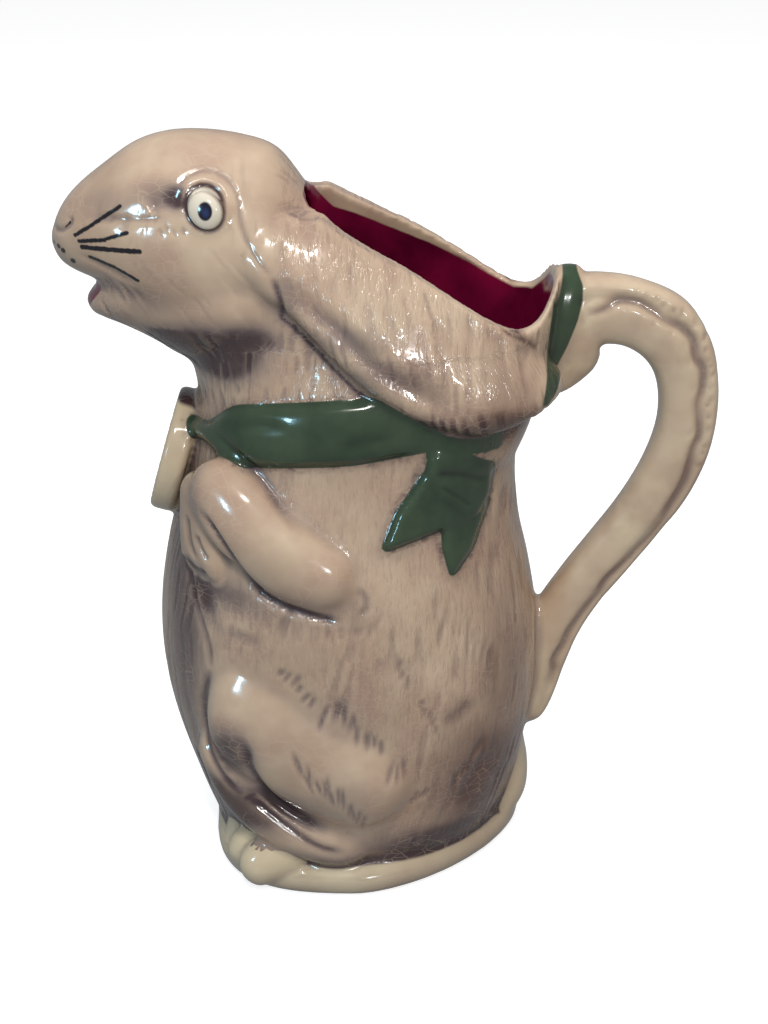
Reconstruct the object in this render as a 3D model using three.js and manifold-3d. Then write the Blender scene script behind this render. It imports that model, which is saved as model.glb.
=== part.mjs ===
// A majolica pitcher cast as a seated rabbit. It pours through the mouth and fills between the ears.
// Millimetres, +Z up. The rabbit faces -X, the handle is at +X, and the figure stands on z = 0.
import * as THREE from "three";
import { mergeVertices } from "three/addons/utils/BufferGeometryUtils.js";
import Module from "manifold-3d";

// Driving dimensions
const height = 236; // top of the head above the table
const wall = 4.6; // thickness of the cast earthenware
const floorThickness = 7; // from the underside's panel to the bottom of the inside
const baseThickness = 9; // edge of the plinth under the feet
const recessDepth = 2.2; // hollow of the underside inside its foot ring
const footRing = 8; // width of the foot ring
const mouthHeight = 7.4; // pouring hole between the lips
const mouthWidth = 15;
const handleWidth = 15.5; // across the strap
const grooveDepth = 1.5; // channel that follows the strap's outer edge
const ribbonWidth = 17.2;
const ribbonThickness = 2.6;
const medallionRadius = 19.8;
const medallionThickness = 6.6;
const tieWidth = 9; // band round the top of the handle
const tieThickness = 1.3;
const foldDepth = 1.8; // of the soft fold along each ear
const sink = 1.5; // how far a raised piece is bedded in what carries it

// The figure's forms are written at this height and scaled to the one above.
const drawnHeight = 236;
const share = height / drawnHeight;
const DEGREE = Math.PI / 180;

const wasm = await Module();
wasm.setup();

// Solids

function solidOf(geometry) {
  const bare = new THREE.BufferGeometry();
  bare.setAttribute("position", geometry.getAttribute("position"));
  bare.setIndex(geometry.getIndex());
  const merged = mergeVertices(bare, 1e-3);
  const triVerts = new Uint32Array(merged.index.array);
  const vertProperties = new Float32Array(merged.attributes.position.array);
  const solid = new wasm.Manifold(new wasm.Mesh({ numProp: 3, vertProperties, triVerts }));
  if (solid.volume() > 0) return solid;
  for (let i = 0; i < triVerts.length; i += 3) {
    [triVerts[i + 1], triVerts[i + 2]] = [triVerts[i + 2], triVerts[i + 1]];
  }
  return new wasm.Manifold(new wasm.Mesh({ numProp: 3, vertProperties, triVerts }));
}

function geometryOf(solid) {
  const mesh = solid.getMesh();
  const corners = new Float32Array(mesh.numVert * 3);
  for (let i = 0; i < mesh.numVert; i++) {
    corners.set(mesh.vertProperties.subarray(i * mesh.numProp, i * mesh.numProp + 3), i * 3);
  }
  const geometry = new THREE.BufferGeometry();
  geometry.setAttribute("position", new THREE.BufferAttribute(corners, 3));
  geometry.setIndex(new THREE.BufferAttribute(new Uint32Array(mesh.triVerts), 1));
  geometry.computeVertexNormals();
  return geometry;
}

const joined = (solids) => solids.reduce((whole, piece) => whole.add(piece));
const bothSides = (make) => joined([make(-1), make(1)]);

// Curves through rows of numbers

// Each row's place from 0 to 1, by the distance between the rows' first three numbers.
function placesOf(rows) {
  const places = [0];
  for (let i = 1; i < rows.length; i++) {
    const step = Math.hypot(...[0, 1, 2].map((k) => rows[i][k] - rows[i - 1][k]));
    places.push(places[i - 1] + Math.max(step, 1e-6));
  }
  return places.map((place) => place / places[rows.length - 1]);
}

// A smooth curve through the rows, at place s.
function through(rows, places, s) {
  const last = rows.length - 1;
  let i = 0;
  while (i < last - 1 && s > places[i + 1]) i++;
  const slope = (j, k) => {
    const from = Math.max(j - 1, 0);
    const to = Math.min(j + 1, last);
    return (rows[to][k] - rows[from][k]) / (places[to] - places[from]);
  };
  const span = places[i + 1] - places[i];
  const t = Math.min(Math.max((s - places[i]) / span, 0), 1);
  const [t2, t3] = [t * t, t * t * t];
  return rows[i].map(
    (value, k) =>
      value * (2 * t3 - 3 * t2 + 1) +
      rows[i + 1][k] * (3 * t2 - 2 * t3) +
      span * (slope(i, k) * (t3 - 2 * t2 + t) + slope(i + 1, k) * (t3 - t2)),
  );
}

// A sphere pulled out along a spine. A row is a centre and the two half axes of the section there,
// nine numbers in all. Its ends are rounded over the share endShare of its length.
// Section turns an angle into the two factors of the half axes.
function pulled(rows, { around = 20, along = 14, endShare = 0.2, section = round, ends = 0.3 } = {}) {
  const places = placesOf(rows);
  const geometry = new THREE.SphereGeometry(1, around, along);
  const position = geometry.getAttribute("position");
  for (let i = 0; i < position.count; i++) {
    const row = Math.floor(i / (around + 1));
    const turn = ((i % (around + 1)) % around) / around;
    const tau = row / along;
    const fromEnd = Math.min(tau, 1 - tau);
    const bend = Math.min(fromEnd / ends, 1) * (Math.PI / 2);
    const inner = (fromEnd - ends) / (0.5 - ends);
    const near = fromEnd < ends ? endShare * (1 - Math.cos(bend)) : endShare + inner * (0.5 - endShare);
    const s = tau < 0.5 ? near : 1 - near;
    const at = through(rows, places, s);
    const [first, second] = section(turn * 2 * Math.PI, s);
    const size = fromEnd === 0 ? 0 : Math.sin(bend);
    position.setXYZ(
      i,
      at[0] + size * (at[3] * first + at[6] * second),
      at[1] + size * (at[4] * first + at[7] * second),
      at[2] + size * (at[5] * first + at[8] * second),
    );
  }
  return solidOf(geometry);
}

const round = (angle) => [Math.cos(angle), Math.sin(angle)];

// A section that is narrower where its second half axis points.
const egg = (taper) => (angle) => [Math.cos(angle) * (1 - taper * Math.sin(angle)), Math.sin(angle)];

// A section with flatter sides.
const squarish = (power) => (angle) => {
  const [c, s] = [Math.cos(angle), Math.sin(angle)];
  return [Math.sign(c) * Math.abs(c) ** (2 / power), Math.sign(s) * Math.abs(s) ** (2 / power)];
};

// Rows for pulled()

// Level sections: x of the centre, z, half length along x, half width along y.
const levelRows = (table, inset = 0) =>
  table.map(([x, z, a, b]) => {
    const [halfLength, halfWidth] = [a * share - inset, b * share - inset];
    return [x * share, 0, z * share, halfLength, 0, 0, 0, halfWidth, 0];
  });

// Upright sections across x: x, z of the centre, half width along y, half height along z.
const uprightRows = (table, inset = 0) =>
  table.map(([x, z, b, h]) => {
    const [halfWidth, halfHeight] = [b * share - inset, h * share - inset];
    return [x * share, 0, z * share, 0, halfWidth, 0, 0, 0, halfHeight];
  });

// A limb on one side: x, y, z of the centre, half height in its own plane, half thickness across it.
// Lean turns the section about the spine, from upright towards the middle of the figure.
const limbRows = (table, side, lean = 0) => {
  const centres = table.map(([x, y, z]) => new THREE.Vector3(x, side * y, z).multiplyScalar(share));
  return table.map(([, , , high, thick], i) => {
    const next = centres[Math.min(i + 1, centres.length - 1)];
    const way = next.clone().sub(centres[Math.max(i - 1, 0)]).normalize();
    const outward = new THREE.Vector3(0, side * Math.cos(lean), Math.sin(lean));
    const across = outward.addScaledVector(way, -outward.dot(way)).normalize();
    const up = new THREE.Vector3().crossVectors(way, across).normalize();
    up.multiplyScalar(side * high * share);
    across.multiplyScalar(thick * share);
    return [...centres[i].toArray(), ...up.toArray(), ...across.toArray()];
  });
};

// Body, neck, collar and head

// x, z, half length, half width
const BODY = [
  [-9.5, 2, 43, 39],
  [-9.3, 8, 46.6, 43],
  [-9, 16, 50.2, 47],
  [-9.2, 28, 54, 50.5],
  [-10, 45, 58.4, 53.5],
  [-10.7, 62, 61, 54.5],
  [-11.4, 80, 61, 54],
  [-12, 98, 58.6, 51.5],
  [-12, 114, 55, 48],
  [-10.6, 128, 52.4, 44.5],
  [-9, 142, 51, 42],
  [-8, 156, 50, 40.5],
  [-7, 166, 47, 37.5],
  [-6, 176, 42, 33],
  [-5, 184, 35, 27],
];

const COLLAR = [
  [3, 132, 37, 36],
  [5, 141, 38.5, 39],
  [6.5, 148, 39.5, 39.5],
  [7, 158, 41.5, 39],
  [7.5, 172, 44, 37],
  [8, 188, 45.2, 33.2],
  [8, 204, 45.2, 28.6],
  [4, 218, 42, 25.5],
];

const NECK = [
  [-17, 138, 34, 34],
  [-21, 155, 36, 36],
  [-25, 172, 35, 33],
  [-31, 188, 32, 30],
  [-39, 202, 28, 28],
];

// x, z, half width, half height
const HEAD = [
  [-101, 203, 4.5, 4.5],
  [-97, 204.8, 10.5, 8.8],
  [-92, 206.4, 15, 13],
  [-84, 208, 19.5, 17.8],
  [-74, 207.5, 24, 25.2],
  [-64, 205.8, 27.5, 30],
  [-53, 204.5, 29.5, 31.6],
  [-42, 203.5, 30, 31],
  [-32, 201.5, 28.5, 29.4],
  [-25, 199, 26.5, 23],
  [-19, 196, 23, 16],
  [-13, 193, 18, 9],
];

const JAW = [
  [-91.5, 184, 6.5, 3],
  [-87, 184.6, 10.5, 4.8],
  [-79, 186, 15.5, 8.8],
  [-70, 186.2, 20.5, 13.4],
  [-60, 185.5, 25.5, 18.8],
  [-50, 185.5, 29.5, 20.5],
  [-40, 186.5, 31.5, 19.5],
  [-32, 187, 30, 15],
];

const body = pulled(levelRows(BODY), { around: 30, along: 16, endShare: 0.03, ends: 0.1 });
const collarSection = (angle, s) => squarish(2 + 0.9 * s)(angle);
const collar = pulled(levelRows(COLLAR), {
  around: 28,
  along: 11,
  endShare: 0.08,
  ends: 0.16,
  section: collarSection,
});
const neck = pulled(levelRows(NECK), { around: 20, along: 6, endShare: 0.1 });
const head = pulled(uprightRows(HEAD), { around: 24, along: 18, endShare: 0.06, section: egg(0.12), ends: 0.14 });
const jaw = pulled(uprightRows(JAW), { around: 16, along: 8, endShare: 0.08, section: egg(-0.14) });

// Ears

// x, y, z, half height, half thickness
const EAR = [
  [-38, 23, 213, 8, 4.6],
  [-30, 25, 205.5, 12.5, 5.6],
  [-21, 26.5, 202.5, 15, 6.2],
  [-12.9, 28.8, 197.1, 15.8, 6.8],
  [-2.8, 31.4, 189.3, 17.3, 7.2],
  [9.2, 32.8, 180.8, 18.8, 7.4],
  [20.8, 32.6, 173.8, 18.6, 7.2],
  [31, 31.5, 170.2, 17, 7],
  [39.5, 27, 169.8, 14, 6.2],
  [45, 18, 169, 11.8, 5],
  [47.8, 7, 168, 9.6, 3.5],
];

const earLean = 20 * DEGREE;
const FOLD = { up: -0.62, width: 0.2, from: 0.12, to: 0.7, fade: 0.1, thickness: 7.2 };

// An ear is thin at the rim and thick along its hanging edge. A soft fold runs above that edge.
function earSection(angle, s) {
  const [up, across] = squarish(2.3)(angle);
  const middle = Math.min(Math.max(Math.min(s - FOLD.from, FOLD.to - s) / FOLD.fade, 0), 1);
  const fold = across > 0 ? middle * Math.exp(-(((up - FOLD.up) / FOLD.width) ** 2)) : 0;
  return [up, across * (1 - 0.45 * up - (foldDepth / (FOLD.thickness * share)) * fold)];
}

const ear = (side) =>
  pulled(limbRows(EAR, side, earLean), { around: 14, along: 13, endShare: 0.08, section: earSection });

// Limbs

const FOREARM = [
  [-56, 25, 136.5, 7.5, 6.5],
  [-51, 31, 135.5, 10, 8],
  [-43.5, 37, 129.5, 12, 9],
  [-35, 41.5, 122, 12, 9],
  [-26, 44.5, 115.5, 11.6, 8.5],
  [-16, 46.5, 110.5, 10, 7.5],
  [-8, 47, 107, 7, 5.5],
];

const FINGER_COUNT = 3;
const HAND = { x: -55, y: 25.5, top: 138, tip: 105.5, back: 1.2, out: 7.5, spread: 4, radius: 5 };

// Each finger hangs from the wrist. They fan a little outwards.
function finger(side, index) {
  const fan = (index - (FINGER_COUNT - 1) / 2) * HAND.spread;
  const row = (drop, radius) => {
    const z = HAND.top + (HAND.tip - HAND.top) * drop;
    const [x, y] = [HAND.x + (fan + HAND.back) * drop, HAND.y + (fan + HAND.out) * drop];
    return [x, y, z, radius, radius];
  };
  const table = [row(0, HAND.radius * 1.3), row(0.5, HAND.radius * 1.15), row(1, HAND.radius * 0.8)];
  return pulled(limbRows(table, side), { around: 8, along: 6, endShare: 0.22 });
}

const HAUNCH = [
  [-53, 31, 66, 12, 10],
  [-45.5, 37, 66, 18, 12.5],
  [-34, 42, 60.5, 20.5, 13.5],
  [-21, 44.5, 52, 20.5, 13],
  [-7, 45, 43, 19, 12.5],
  [8, 44, 34, 13, 11],
];

const SHIN = [
  [-52, 33, 56, 9, 8],
  [-49, 36, 46, 9, 8],
  [-42, 39.5, 34, 9.5, 8.5],
  [-31, 42.5, 24, 9, 8],
  [-17, 44, 17.5, 8, 7.5],
  [-3, 43.5, 15, 6, 6],
];

const forearm = (side) => pulled(limbRows(FOREARM, side), { around: 12, along: 8, endShare: 0.14 });
const hand = (side) => joined([...Array(FINGER_COUNT).keys()].map((index) => finger(side, index)));
const haunch = (side) => pulled(limbRows(HAUNCH, side), { around: 18, along: 8, endShare: 0.16 });
const shin = (side) => pulled(limbRows(SHIN, side), { around: 10, along: 7, endShare: 0.14 });

// Feet: four toes in a fan, in front of one instep

const TOE_COUNT = 4;
const FOOT = { heelX: -24, y: 31, reach: 27, spread: 10.4, fan: 0.62, toeRadius: 6.8 };
const TOE_ROWS = [
  { out: 0, z: 13, swell: 1 },
  { out: 0.6, z: 10.5, swell: 1.15 },
  { out: 1, z: 6.4, swell: 0.9 },
];

function toe(side, index) {
  const place = index - (TOE_COUNT - 1) / 2;
  const reach = FOOT.reach - 1.7 * place ** 2 - 1.6 * place;
  const table = TOE_ROWS.map(({ out, z, swell }) => [
    FOOT.heelX - reach * out,
    FOOT.y + place * FOOT.spread * (FOOT.fan + (1 - FOOT.fan) * out),
    z,
    FOOT.toeRadius * swell,
    FOOT.toeRadius * swell * 0.86,
  ]);
  return pulled(limbRows(table, side), { around: 8, along: 5, endShare: 0.22 });
}

const foot = (side) => joined([...Array(TOE_COUNT).keys()].map((index) => toe(side, index)));

// Plinth and tail

const PLINTH = { x: -8, front: 48, back: 53.5, halfWidth: 51, frontPower: 3, backPower: 1.55 };

// The plinth's outline at one turn, moved in by inset.
function plinthPoint(angle, inset) {
  const [c, s] = [Math.cos(angle), Math.sin(angle)];
  const power = c < 0 ? PLINTH.frontPower : PLINTH.backPower;
  const reach = (c < 0 ? PLINTH.front : PLINTH.back) * share - inset;
  return new THREE.Vector2(
    PLINTH.x * share + Math.sign(c) * Math.abs(c) ** (2 / power) * reach,
    Math.sign(s) * Math.abs(s) ** (2 / power) * (PLINTH.halfWidth * share - inset),
  );
}

function plinthShape(inset) {
  const steps = 36;
  const outline = [...Array(steps).keys()].map((i) => plinthPoint((i / steps) * 2 * Math.PI, inset));
  return new THREE.Shape(outline);
}

function plinth() {
  const edge = baseThickness * 0.34;
  const slab = new THREE.ExtrudeGeometry(plinthShape(edge), {
    depth: baseThickness - 2 * edge,
    bevelEnabled: true,
    bevelThickness: edge,
    bevelSize: edge,
    bevelSegments: 2,
  });
  slab.translate(0, 0, edge);
  return solidOf(slab);
}

function underside() {
  const hollow = new THREE.ExtrudeGeometry(plinthShape(footRing), { depth: recessDepth + 1, bevelEnabled: false });
  hollow.translate(0, 0, -1);
  return solidOf(hollow);
}

const TAIL = [
  [36, 4, 12, 7],
  [40, 12, 13.5, 8],
  [41, 22, 12.5, 7.6],
  [40.5, 31, 9, 6.6],
  [39.5, 39, 5, 6],
];

const tail = pulled(
  TAIL.map(([x, z, b, a]) => [x * share, 0, z * share, a * share, 0, 0, 0, b * share, 0]),
  { around: 12, along: 7, endShare: 0.12 },
);

// Ribbon

const BODY_LEVELS = BODY.map(([x, z, a, b]) => [z, 0, 0, x, a, b]);
const BODY_PLACES = placesOf(BODY_LEVELS);

// The body's level section at height z: centre x, half length, half width.
function bodySection(z) {
  const [low, high] = [BODY[0][1], BODY[BODY.length - 1][1]];
  const s = Math.min(Math.max((z / share - low) / (high - low), 0), 1);
  const [, , , x, a, b] = through(BODY_LEVELS, BODY_PLACES, s);
  return { x: x * share, a: a * share, b: b * share };
}

// How far the body's side is from the middle plane at x and z.
function bodySide(x, z) {
  const { x: centre, a, b } = bodySection(z);
  return b * Math.sqrt(Math.max(1 - ((x - centre) / a) ** 2, 0.05));
}

// The band hangs in front, where it narrows behind the medallion.
const RIBBON = { z: 157.5, droop: 11.4, droopAngle: 62, rise: 8, narrow: 0.25, narrowTo: 26, fullFrom: 48 };

// A flat band round the neck that hangs down in front, and rises at the back under the ears.
function ribbon() {
  const [section, round] = [6, 36];
  const band = new THREE.TorusGeometry(1, 0.5, section, round);
  const position = band.getAttribute("position");
  for (let i = 0; i < position.count; i++) {
    const turn = (((i % (round + 1)) % round) / round) * 2 * Math.PI;
    const rim = (((Math.floor(i / (round + 1)) % section) / section)) * 2 * Math.PI;
    const fromFront = Math.abs(Math.PI - turn) / DEGREE;
    const droop = RIBBON.droop * Math.exp(-((fromFront / RIBBON.droopAngle) ** 2));
    const centre = (RIBBON.z - droop + (RIBBON.rise * Math.max(0, fromFront - 90)) / 90) * share;
    const [out, up] = squarish(3)(rim);
    const widening = Math.min(Math.max((fromFront - RIBBON.narrowTo) / (RIBBON.fullFrom - RIBBON.narrowTo), 0), 1);
    const wide = RIBBON.narrow + (1 - RIBBON.narrow) * widening ** 2 * (3 - 2 * widening);
    const z = centre + (up * ribbonWidth * wide) / 2;
    const { x, a, b } = bodySection(z);
    const off = ribbonThickness * (0.5 + 0.5 * out) - sink * (0.5 - 0.5 * out);
    position.setXYZ(i, x + (a + off) * Math.cos(turn), (b + off) * Math.sin(turn), z);
  }
  return solidOf(band);
}

// The ribbon is tied on the left side only. The knot is a folded piece, and its two ends hang down.
// Each piece of cloth has its thickness and its outline, x and z in the side view.
const KNOT = {
  thickness: 4.2,
  outline: [
    [15.5, 149.5],
    [25, 148],
    [33, 141.5],
    [32.6, 132],
    [28.6, 126.6],
    [18, 136],
    [13.6, 142.8],
  ],
};
const LEFT_END = {
  thickness: 3,
  outline: [
    [14.3, 144],
    [25, 137],
    [28.6, 126.6],
    [19.6, 125.6],
    [13.6, 124.4],
    [6.4, 122.6],
    [1.2, 121.2],
    [5, 131],
  ],
};
const RIGHT_END = {
  thickness: 2.4,
  outline: [
    [18.6, 130],
    [28.3, 131],
    [32.2, 129],
    [27, 116.5],
    [21.6, 110.6],
    [19.4, 118.6],
  ],
};

// A flat piece of cloth lies on the body's left side, bedded in it and with a soft edge.
function cloth({ outline, thickness }) {
  const edge = thickness * 0.3;
  const shape = new THREE.Shape(outline.map(([x, z]) => new THREE.Vector2(x * share, z * share)));
  const piece = new THREE.ExtrudeGeometry(shape, {
    depth: thickness + sink - 2 * edge,
    bevelEnabled: true,
    bevelThickness: edge,
    bevelSize: edge,
    bevelOffset: -edge,
    bevelSegments: 1,
  });
  const position = piece.getAttribute("position");
  for (let i = 0; i < position.count; i++) {
    const [x, z, out] = [position.getX(i), position.getY(i), position.getZ(i) + edge - sink];
    position.setXYZ(i, x, -(bodySide(x, z) + out), z);
  }
  return solidOf(piece);
}

const bow = () => joined([KNOT, LEFT_END, RIGHT_END].map(cloth));

// Medallion on the chest

const MEDALLION = { x: -66, z: 134.7, lean: 16, backing: 1.6 };

function medallion() {
  const edge = 1.4;
  const [r, t] = [medallionRadius, medallionThickness / 2];
  const profile = [
    [0, -t - MEDALLION.backing],
    [r - edge, -t - MEDALLION.backing],
    [r, -t - MEDALLION.backing + edge],
    [r, t - edge],
    [r - edge * 0.3, t - edge * 0.3],
    [r - edge, t],
    [r - 3.2, t],
    [r - 4, t - 0.9],
    [0, t - 0.5],
  ].map(([x, y]) => new THREE.Vector2(x, y));
  const disc = new THREE.LatheGeometry(profile, 26);
  disc.rotateZ(Math.PI / 2 - MEDALLION.lean * DEGREE);
  disc.rotateX(Math.PI / 2);
  disc.translate(MEDALLION.x * share, 0, MEDALLION.z * share);
  return solidOf(disc);
}

// Handle: a strap bent in the middle plane, with a channel along its outer edge

// x, z of the middle line, half thickness
const HANDLE = [
  [44, 174, 21],
  [51, 174.6, 20.3],
  [56, 176.8, 17.2],
  [60, 179.4, 14],
  [65, 181.6, 11.4],
  [75, 180.8, 10.6],
  [85.2, 176, 10.8],
  [91.6, 167.2, 10],
  [94.2, 157.5, 9.4],
  [94.6, 147, 9.2],
  [92.8, 136.5, 9.3],
  [88.4, 125, 9.2],
  [81.2, 112.7, 8.7],
  [72.2, 100, 8.4],
  [63.7, 88, 8.2],
  [56.7, 76, 8.3],
  [52.4, 63, 7.8],
  [50, 52, 7],
  [48.3, 45, 6],
  [46, 38, 4],
];

// The strap's section. The first factor points away from the hand, the second across.
function strapSection(angle) {
  const [out, across] = squarish(2.7)(angle);
  const channel = Math.exp(-(((out - 0.5) / 0.16) ** 2));
  return [out, across * (1 - (grooveDepth / (handleWidth / 2)) * channel)];
}

function handle() {
  const centres = HANDLE.map(([x, z]) => new THREE.Vector3(x, 0, z).multiplyScalar(share));
  const rows = HANDLE.map(([, , half], i) => {
    const way = centres[Math.min(i + 1, HANDLE.length - 1)].clone();
    way.sub(centres[Math.max(i - 1, 0)]).normalize();
    const out = new THREE.Vector3(-way.z, 0, way.x).multiplyScalar(half * share);
    return [...centres[i].toArray(), ...out.toArray(), 0, handleWidth / 2, 0];
  });
  return pulled(rows, { around: 18, along: 24, endShare: 0.03, ends: 0.08, section: strapSection });
}

// A band tied round the top of the handle, where it leaves the collar
const TIE = { x: 52.5, z: 176, lean: 11, halfHeight: 18.5 };

function tie() {
  const lean = TIE.lean * DEGREE;
  const rows = [-1, -0.5, 0.5, 1].map((step) => {
    const half = TIE.halfHeight * share + (Math.abs(step) < 1 ? tieThickness : 0);
    const width = handleWidth / 2 + (Math.abs(step) < 1 ? tieThickness : 0) + 1.2;
    const x = TIE.x * share + (step * tieWidth) / 2;
    return [x, 0, TIE.z * share, half * Math.sin(lean), 0, half * Math.cos(lean), 0, width, 0];
  });
  return pulled(rows, { around: 16, along: 5, endShare: 0.04, ends: 0.2 });
}

// Eyes: a ball in a ring of lid

const EYE = { x: -50.5, y: 26.5, z: 218.6, radius: 6, lid: 7.6, lidThickness: 1.5, turn: 12 };

function eye(side) {
  const ball = new THREE.SphereGeometry(EYE.radius * share, 10, 6);
  ball.scale(1, 0.55, 1);
  const lid = new THREE.TorusGeometry(EYE.lid * share, EYE.lidThickness * share, 4, 14);
  lid.rotateX(Math.PI / 2);
  return joined(
    [ball, lid].map((piece) => {
      piece.rotateX(-side * 14 * DEGREE);
      piece.rotateZ(-side * -EYE.turn * DEGREE);
      piece.translate(EYE.x * share, side * EYE.y * share, EYE.z * share);
      return solidOf(piece);
    }),
  );
}

// Inside: the body's hollow, the collar, and the way through the head to the mouth

const OPENING = [
  [2, 138, 32, 34],
  [7, 150, 40.5, 38],
  [7, 165, 42.6, 36.5],
  [9, 180, 44.6, 34],
  [11, 192, 45, 31.6],
  [13, 205, 42.6, 27.4],
  [14, 225, 41.6, 24],
  [14, 262, 41.6, 24],
];

// The opening is an ellipse low down and nearer a rounded oblong at the rim.
const openingSection = (angle, s) => squarish(2 + 1.6 * Math.min(s, 0.7))(angle);

function inside() {
  const floor = (recessDepth + floorThickness) / share;
  const lowest = BODY.filter(([, z]) => z > floor + 3);
  const { x, a, b } = bodySection((floor + 1) * share);
  const rows = levelRows([[x / share, floor, (a / share) * 0.97, (b / share) * 0.97], ...lowest], wall);
  const bodyHollow = pulled(rows, { around: 24, along: 12, endShare: 0.05, ends: 0.16 });
  const collarHollow = pulled(levelRows(OPENING, wall), {
    around: 24,
    along: 9,
    endShare: 0.04,
    ends: 0.16,
    section: openingSection,
  });
  const neckHollow = pulled(levelRows(NECK.slice(1), wall), { around: 12, along: 6 });
  const throat = HEAD.filter(([at]) => at > -90 && at < -16);
  const headHollow = pulled(uprightRows(throat, wall), { around: 12, along: 8, endShare: 0.1, section: egg(0.12) });
  return joined([bodyHollow, collarHollow, neckHollow, headHollow]);
}

const MOUTH = [
  [-98, 187.3],
  [-84, 189.5],
  [-68, 193],
];

function mouth() {
  const rows = MOUTH.map(([x, z]) => [x * share, 0, z * share, 0, mouthWidth / 2, 0, 0, 0, mouthHeight / 2]);
  return pulled(rows, { around: 16, along: 6, endShare: 0.05, ends: 0.2 });
}

// The rim between the ears, seen from the side: all above this line is open.
const RIM = [
  [-23.5, 225.5],
  [-20.5, 220.4],
  [-16, 214.4],
  [-5, 207.8],
  [8, 201.2],
  [22, 192.7],
  [33, 185.9],
  [40.5, 182.7],
  [46, 183.8],
  [49.4, 188.4],
  [51.6, 192.6],
  [54, 195],
  [60, 195.6],
];

const cutWidth = 140; // wider than the figure

function aboveRim() {
  const line = new THREE.SplineCurve(RIM.map(([x, z]) => new THREE.Vector2(x * share, z * share)));
  const top = drawnHeight * 1.1 * share;
  const points = line.getPoints(26);
  const area = new THREE.Shape([
    new THREE.Vector2(points[0].x, top),
    ...points,
    new THREE.Vector2(points[points.length - 1].x, top),
  ]);
  const depth = cutWidth * share;
  const block = new THREE.ExtrudeGeometry(area, { depth, bevelEnabled: false });
  block.translate(0, 0, -depth / 2);
  block.rotateX(Math.PI / 2);
  return solidOf(block);
}

// The whole casting

const raised = joined([
  body,
  collar,
  neck,
  head,
  jaw,
  bothSides(ear),
  bothSides(forearm),
  bothSides(hand),
  bothSides(haunch),
  bothSides(shin),
  bothSides(foot),
  plinth(),
  tail,
  ribbon(),
  bow(),
  medallion(),
  bothSides(eye),
]);
const open = raised.subtract(aboveRim());
const hollows = joined([inside(), mouth(), underside()]);
const bodies = joined([open, handle(), tie()]).subtract(hollows).decompose();
const shell = bodies.reduce((largest, one) => (one.volume() > largest.volume() ? one : largest));

// The figure is drawn about its body. Its box's centre in plan is moved to the origin.
const { min, max } = shell.boundingBox();
const centred = shell.translate([-(min[0] + max[0]) / 2, -(min[1] + max[1]) / 2, 0]);

const glaze = new THREE.MeshStandardMaterial({ color: 0xb59a7c, roughness: 0.18, metalness: 0 });
const pitcher = new THREE.Mesh(geometryOf(centred), glaze);
pitcher.name = "pitcher";

const figure = new THREE.Group();
figure.add(pitcher);
export default figure;
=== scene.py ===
# A majolica pitcher in the form of an upright rabbit: one slip-cast earthenware piece under
# coloured lead glazes. It fills between the ears and pours through the mouth. Lengths are in
# millimetres until a finished piece is brought to the frame's metres.
import math
import random

import bmesh
import bpy
import numpy as np
from mathutils import Matrix, Vector
from mathutils.bvhtree import BVHTree


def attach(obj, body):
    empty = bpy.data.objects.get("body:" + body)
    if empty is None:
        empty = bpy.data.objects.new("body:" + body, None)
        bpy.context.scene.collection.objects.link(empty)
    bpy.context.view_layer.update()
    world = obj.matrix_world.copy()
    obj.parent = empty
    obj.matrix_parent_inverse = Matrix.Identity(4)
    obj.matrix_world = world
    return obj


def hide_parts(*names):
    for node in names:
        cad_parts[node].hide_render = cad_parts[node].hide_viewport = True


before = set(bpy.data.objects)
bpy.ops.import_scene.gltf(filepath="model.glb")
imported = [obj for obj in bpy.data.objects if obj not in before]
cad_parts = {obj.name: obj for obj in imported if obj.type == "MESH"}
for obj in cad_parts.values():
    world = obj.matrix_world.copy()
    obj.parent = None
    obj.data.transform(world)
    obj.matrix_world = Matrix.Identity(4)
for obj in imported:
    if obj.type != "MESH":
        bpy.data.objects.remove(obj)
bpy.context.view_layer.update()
METRE = 0.001
CENTRE_X = -1.48  # from the axes that the figure is drawn about to the middle of its box

# Camera
# The pitcher was photographed from its left side, a little from above, so that the maroon glaze
# shows inside the opening.
AZIMUTH = math.radians(1)
ELEVATION = math.radians(24)
DISTANCE = 0.635
AIM = Vector((CENTRE_X * METRE, 0, 0.113))
SENSOR = 24
FOCAL_PIXELS = 1984
IMAGE_HEIGHT = 1024


def object_of(data, name):
    thing = bpy.data.objects.new(name, data)
    bpy.context.scene.collection.objects.link(thing)
    return thing


camera_data = bpy.data.cameras.new("camera")
camera_data.sensor_fit = "VERTICAL"
camera_data.sensor_height = SENSOR
camera_data.lens = SENSOR * FOCAL_PIXELS / IMAGE_HEIGHT
camera_data.clip_start = 0.01
camera = object_of(camera_data, "camera")
towards_camera = Vector(
    (
        math.sin(AZIMUTH) * math.cos(ELEVATION),
        -math.cos(AZIMUTH) * math.cos(ELEVATION),
        math.sin(ELEVATION),
    )
)
camera.location = AIM + towards_camera * DISTANCE
camera.rotation_euler = (-towards_camera).to_track_quat("-Z", "Y").to_euler()
bpy.context.scene.camera = camera


# Forms of the mould
# The potter's model was built up from rounded masses. Each is a ball that is pulled out along a
# spine of sections, and the masses are run together so that the glaze flows over their joins.
def coordinates(mesh):
    co = np.empty(len(mesh.vertices) * 3)
    mesh.vertices.foreach_get("co", co)
    return co.reshape(-1, 3)


def set_coordinates(mesh, co):
    mesh.vertices.foreach_set("co", np.ascontiguousarray(co, dtype=np.float32).ravel())
    mesh.update()


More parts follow.
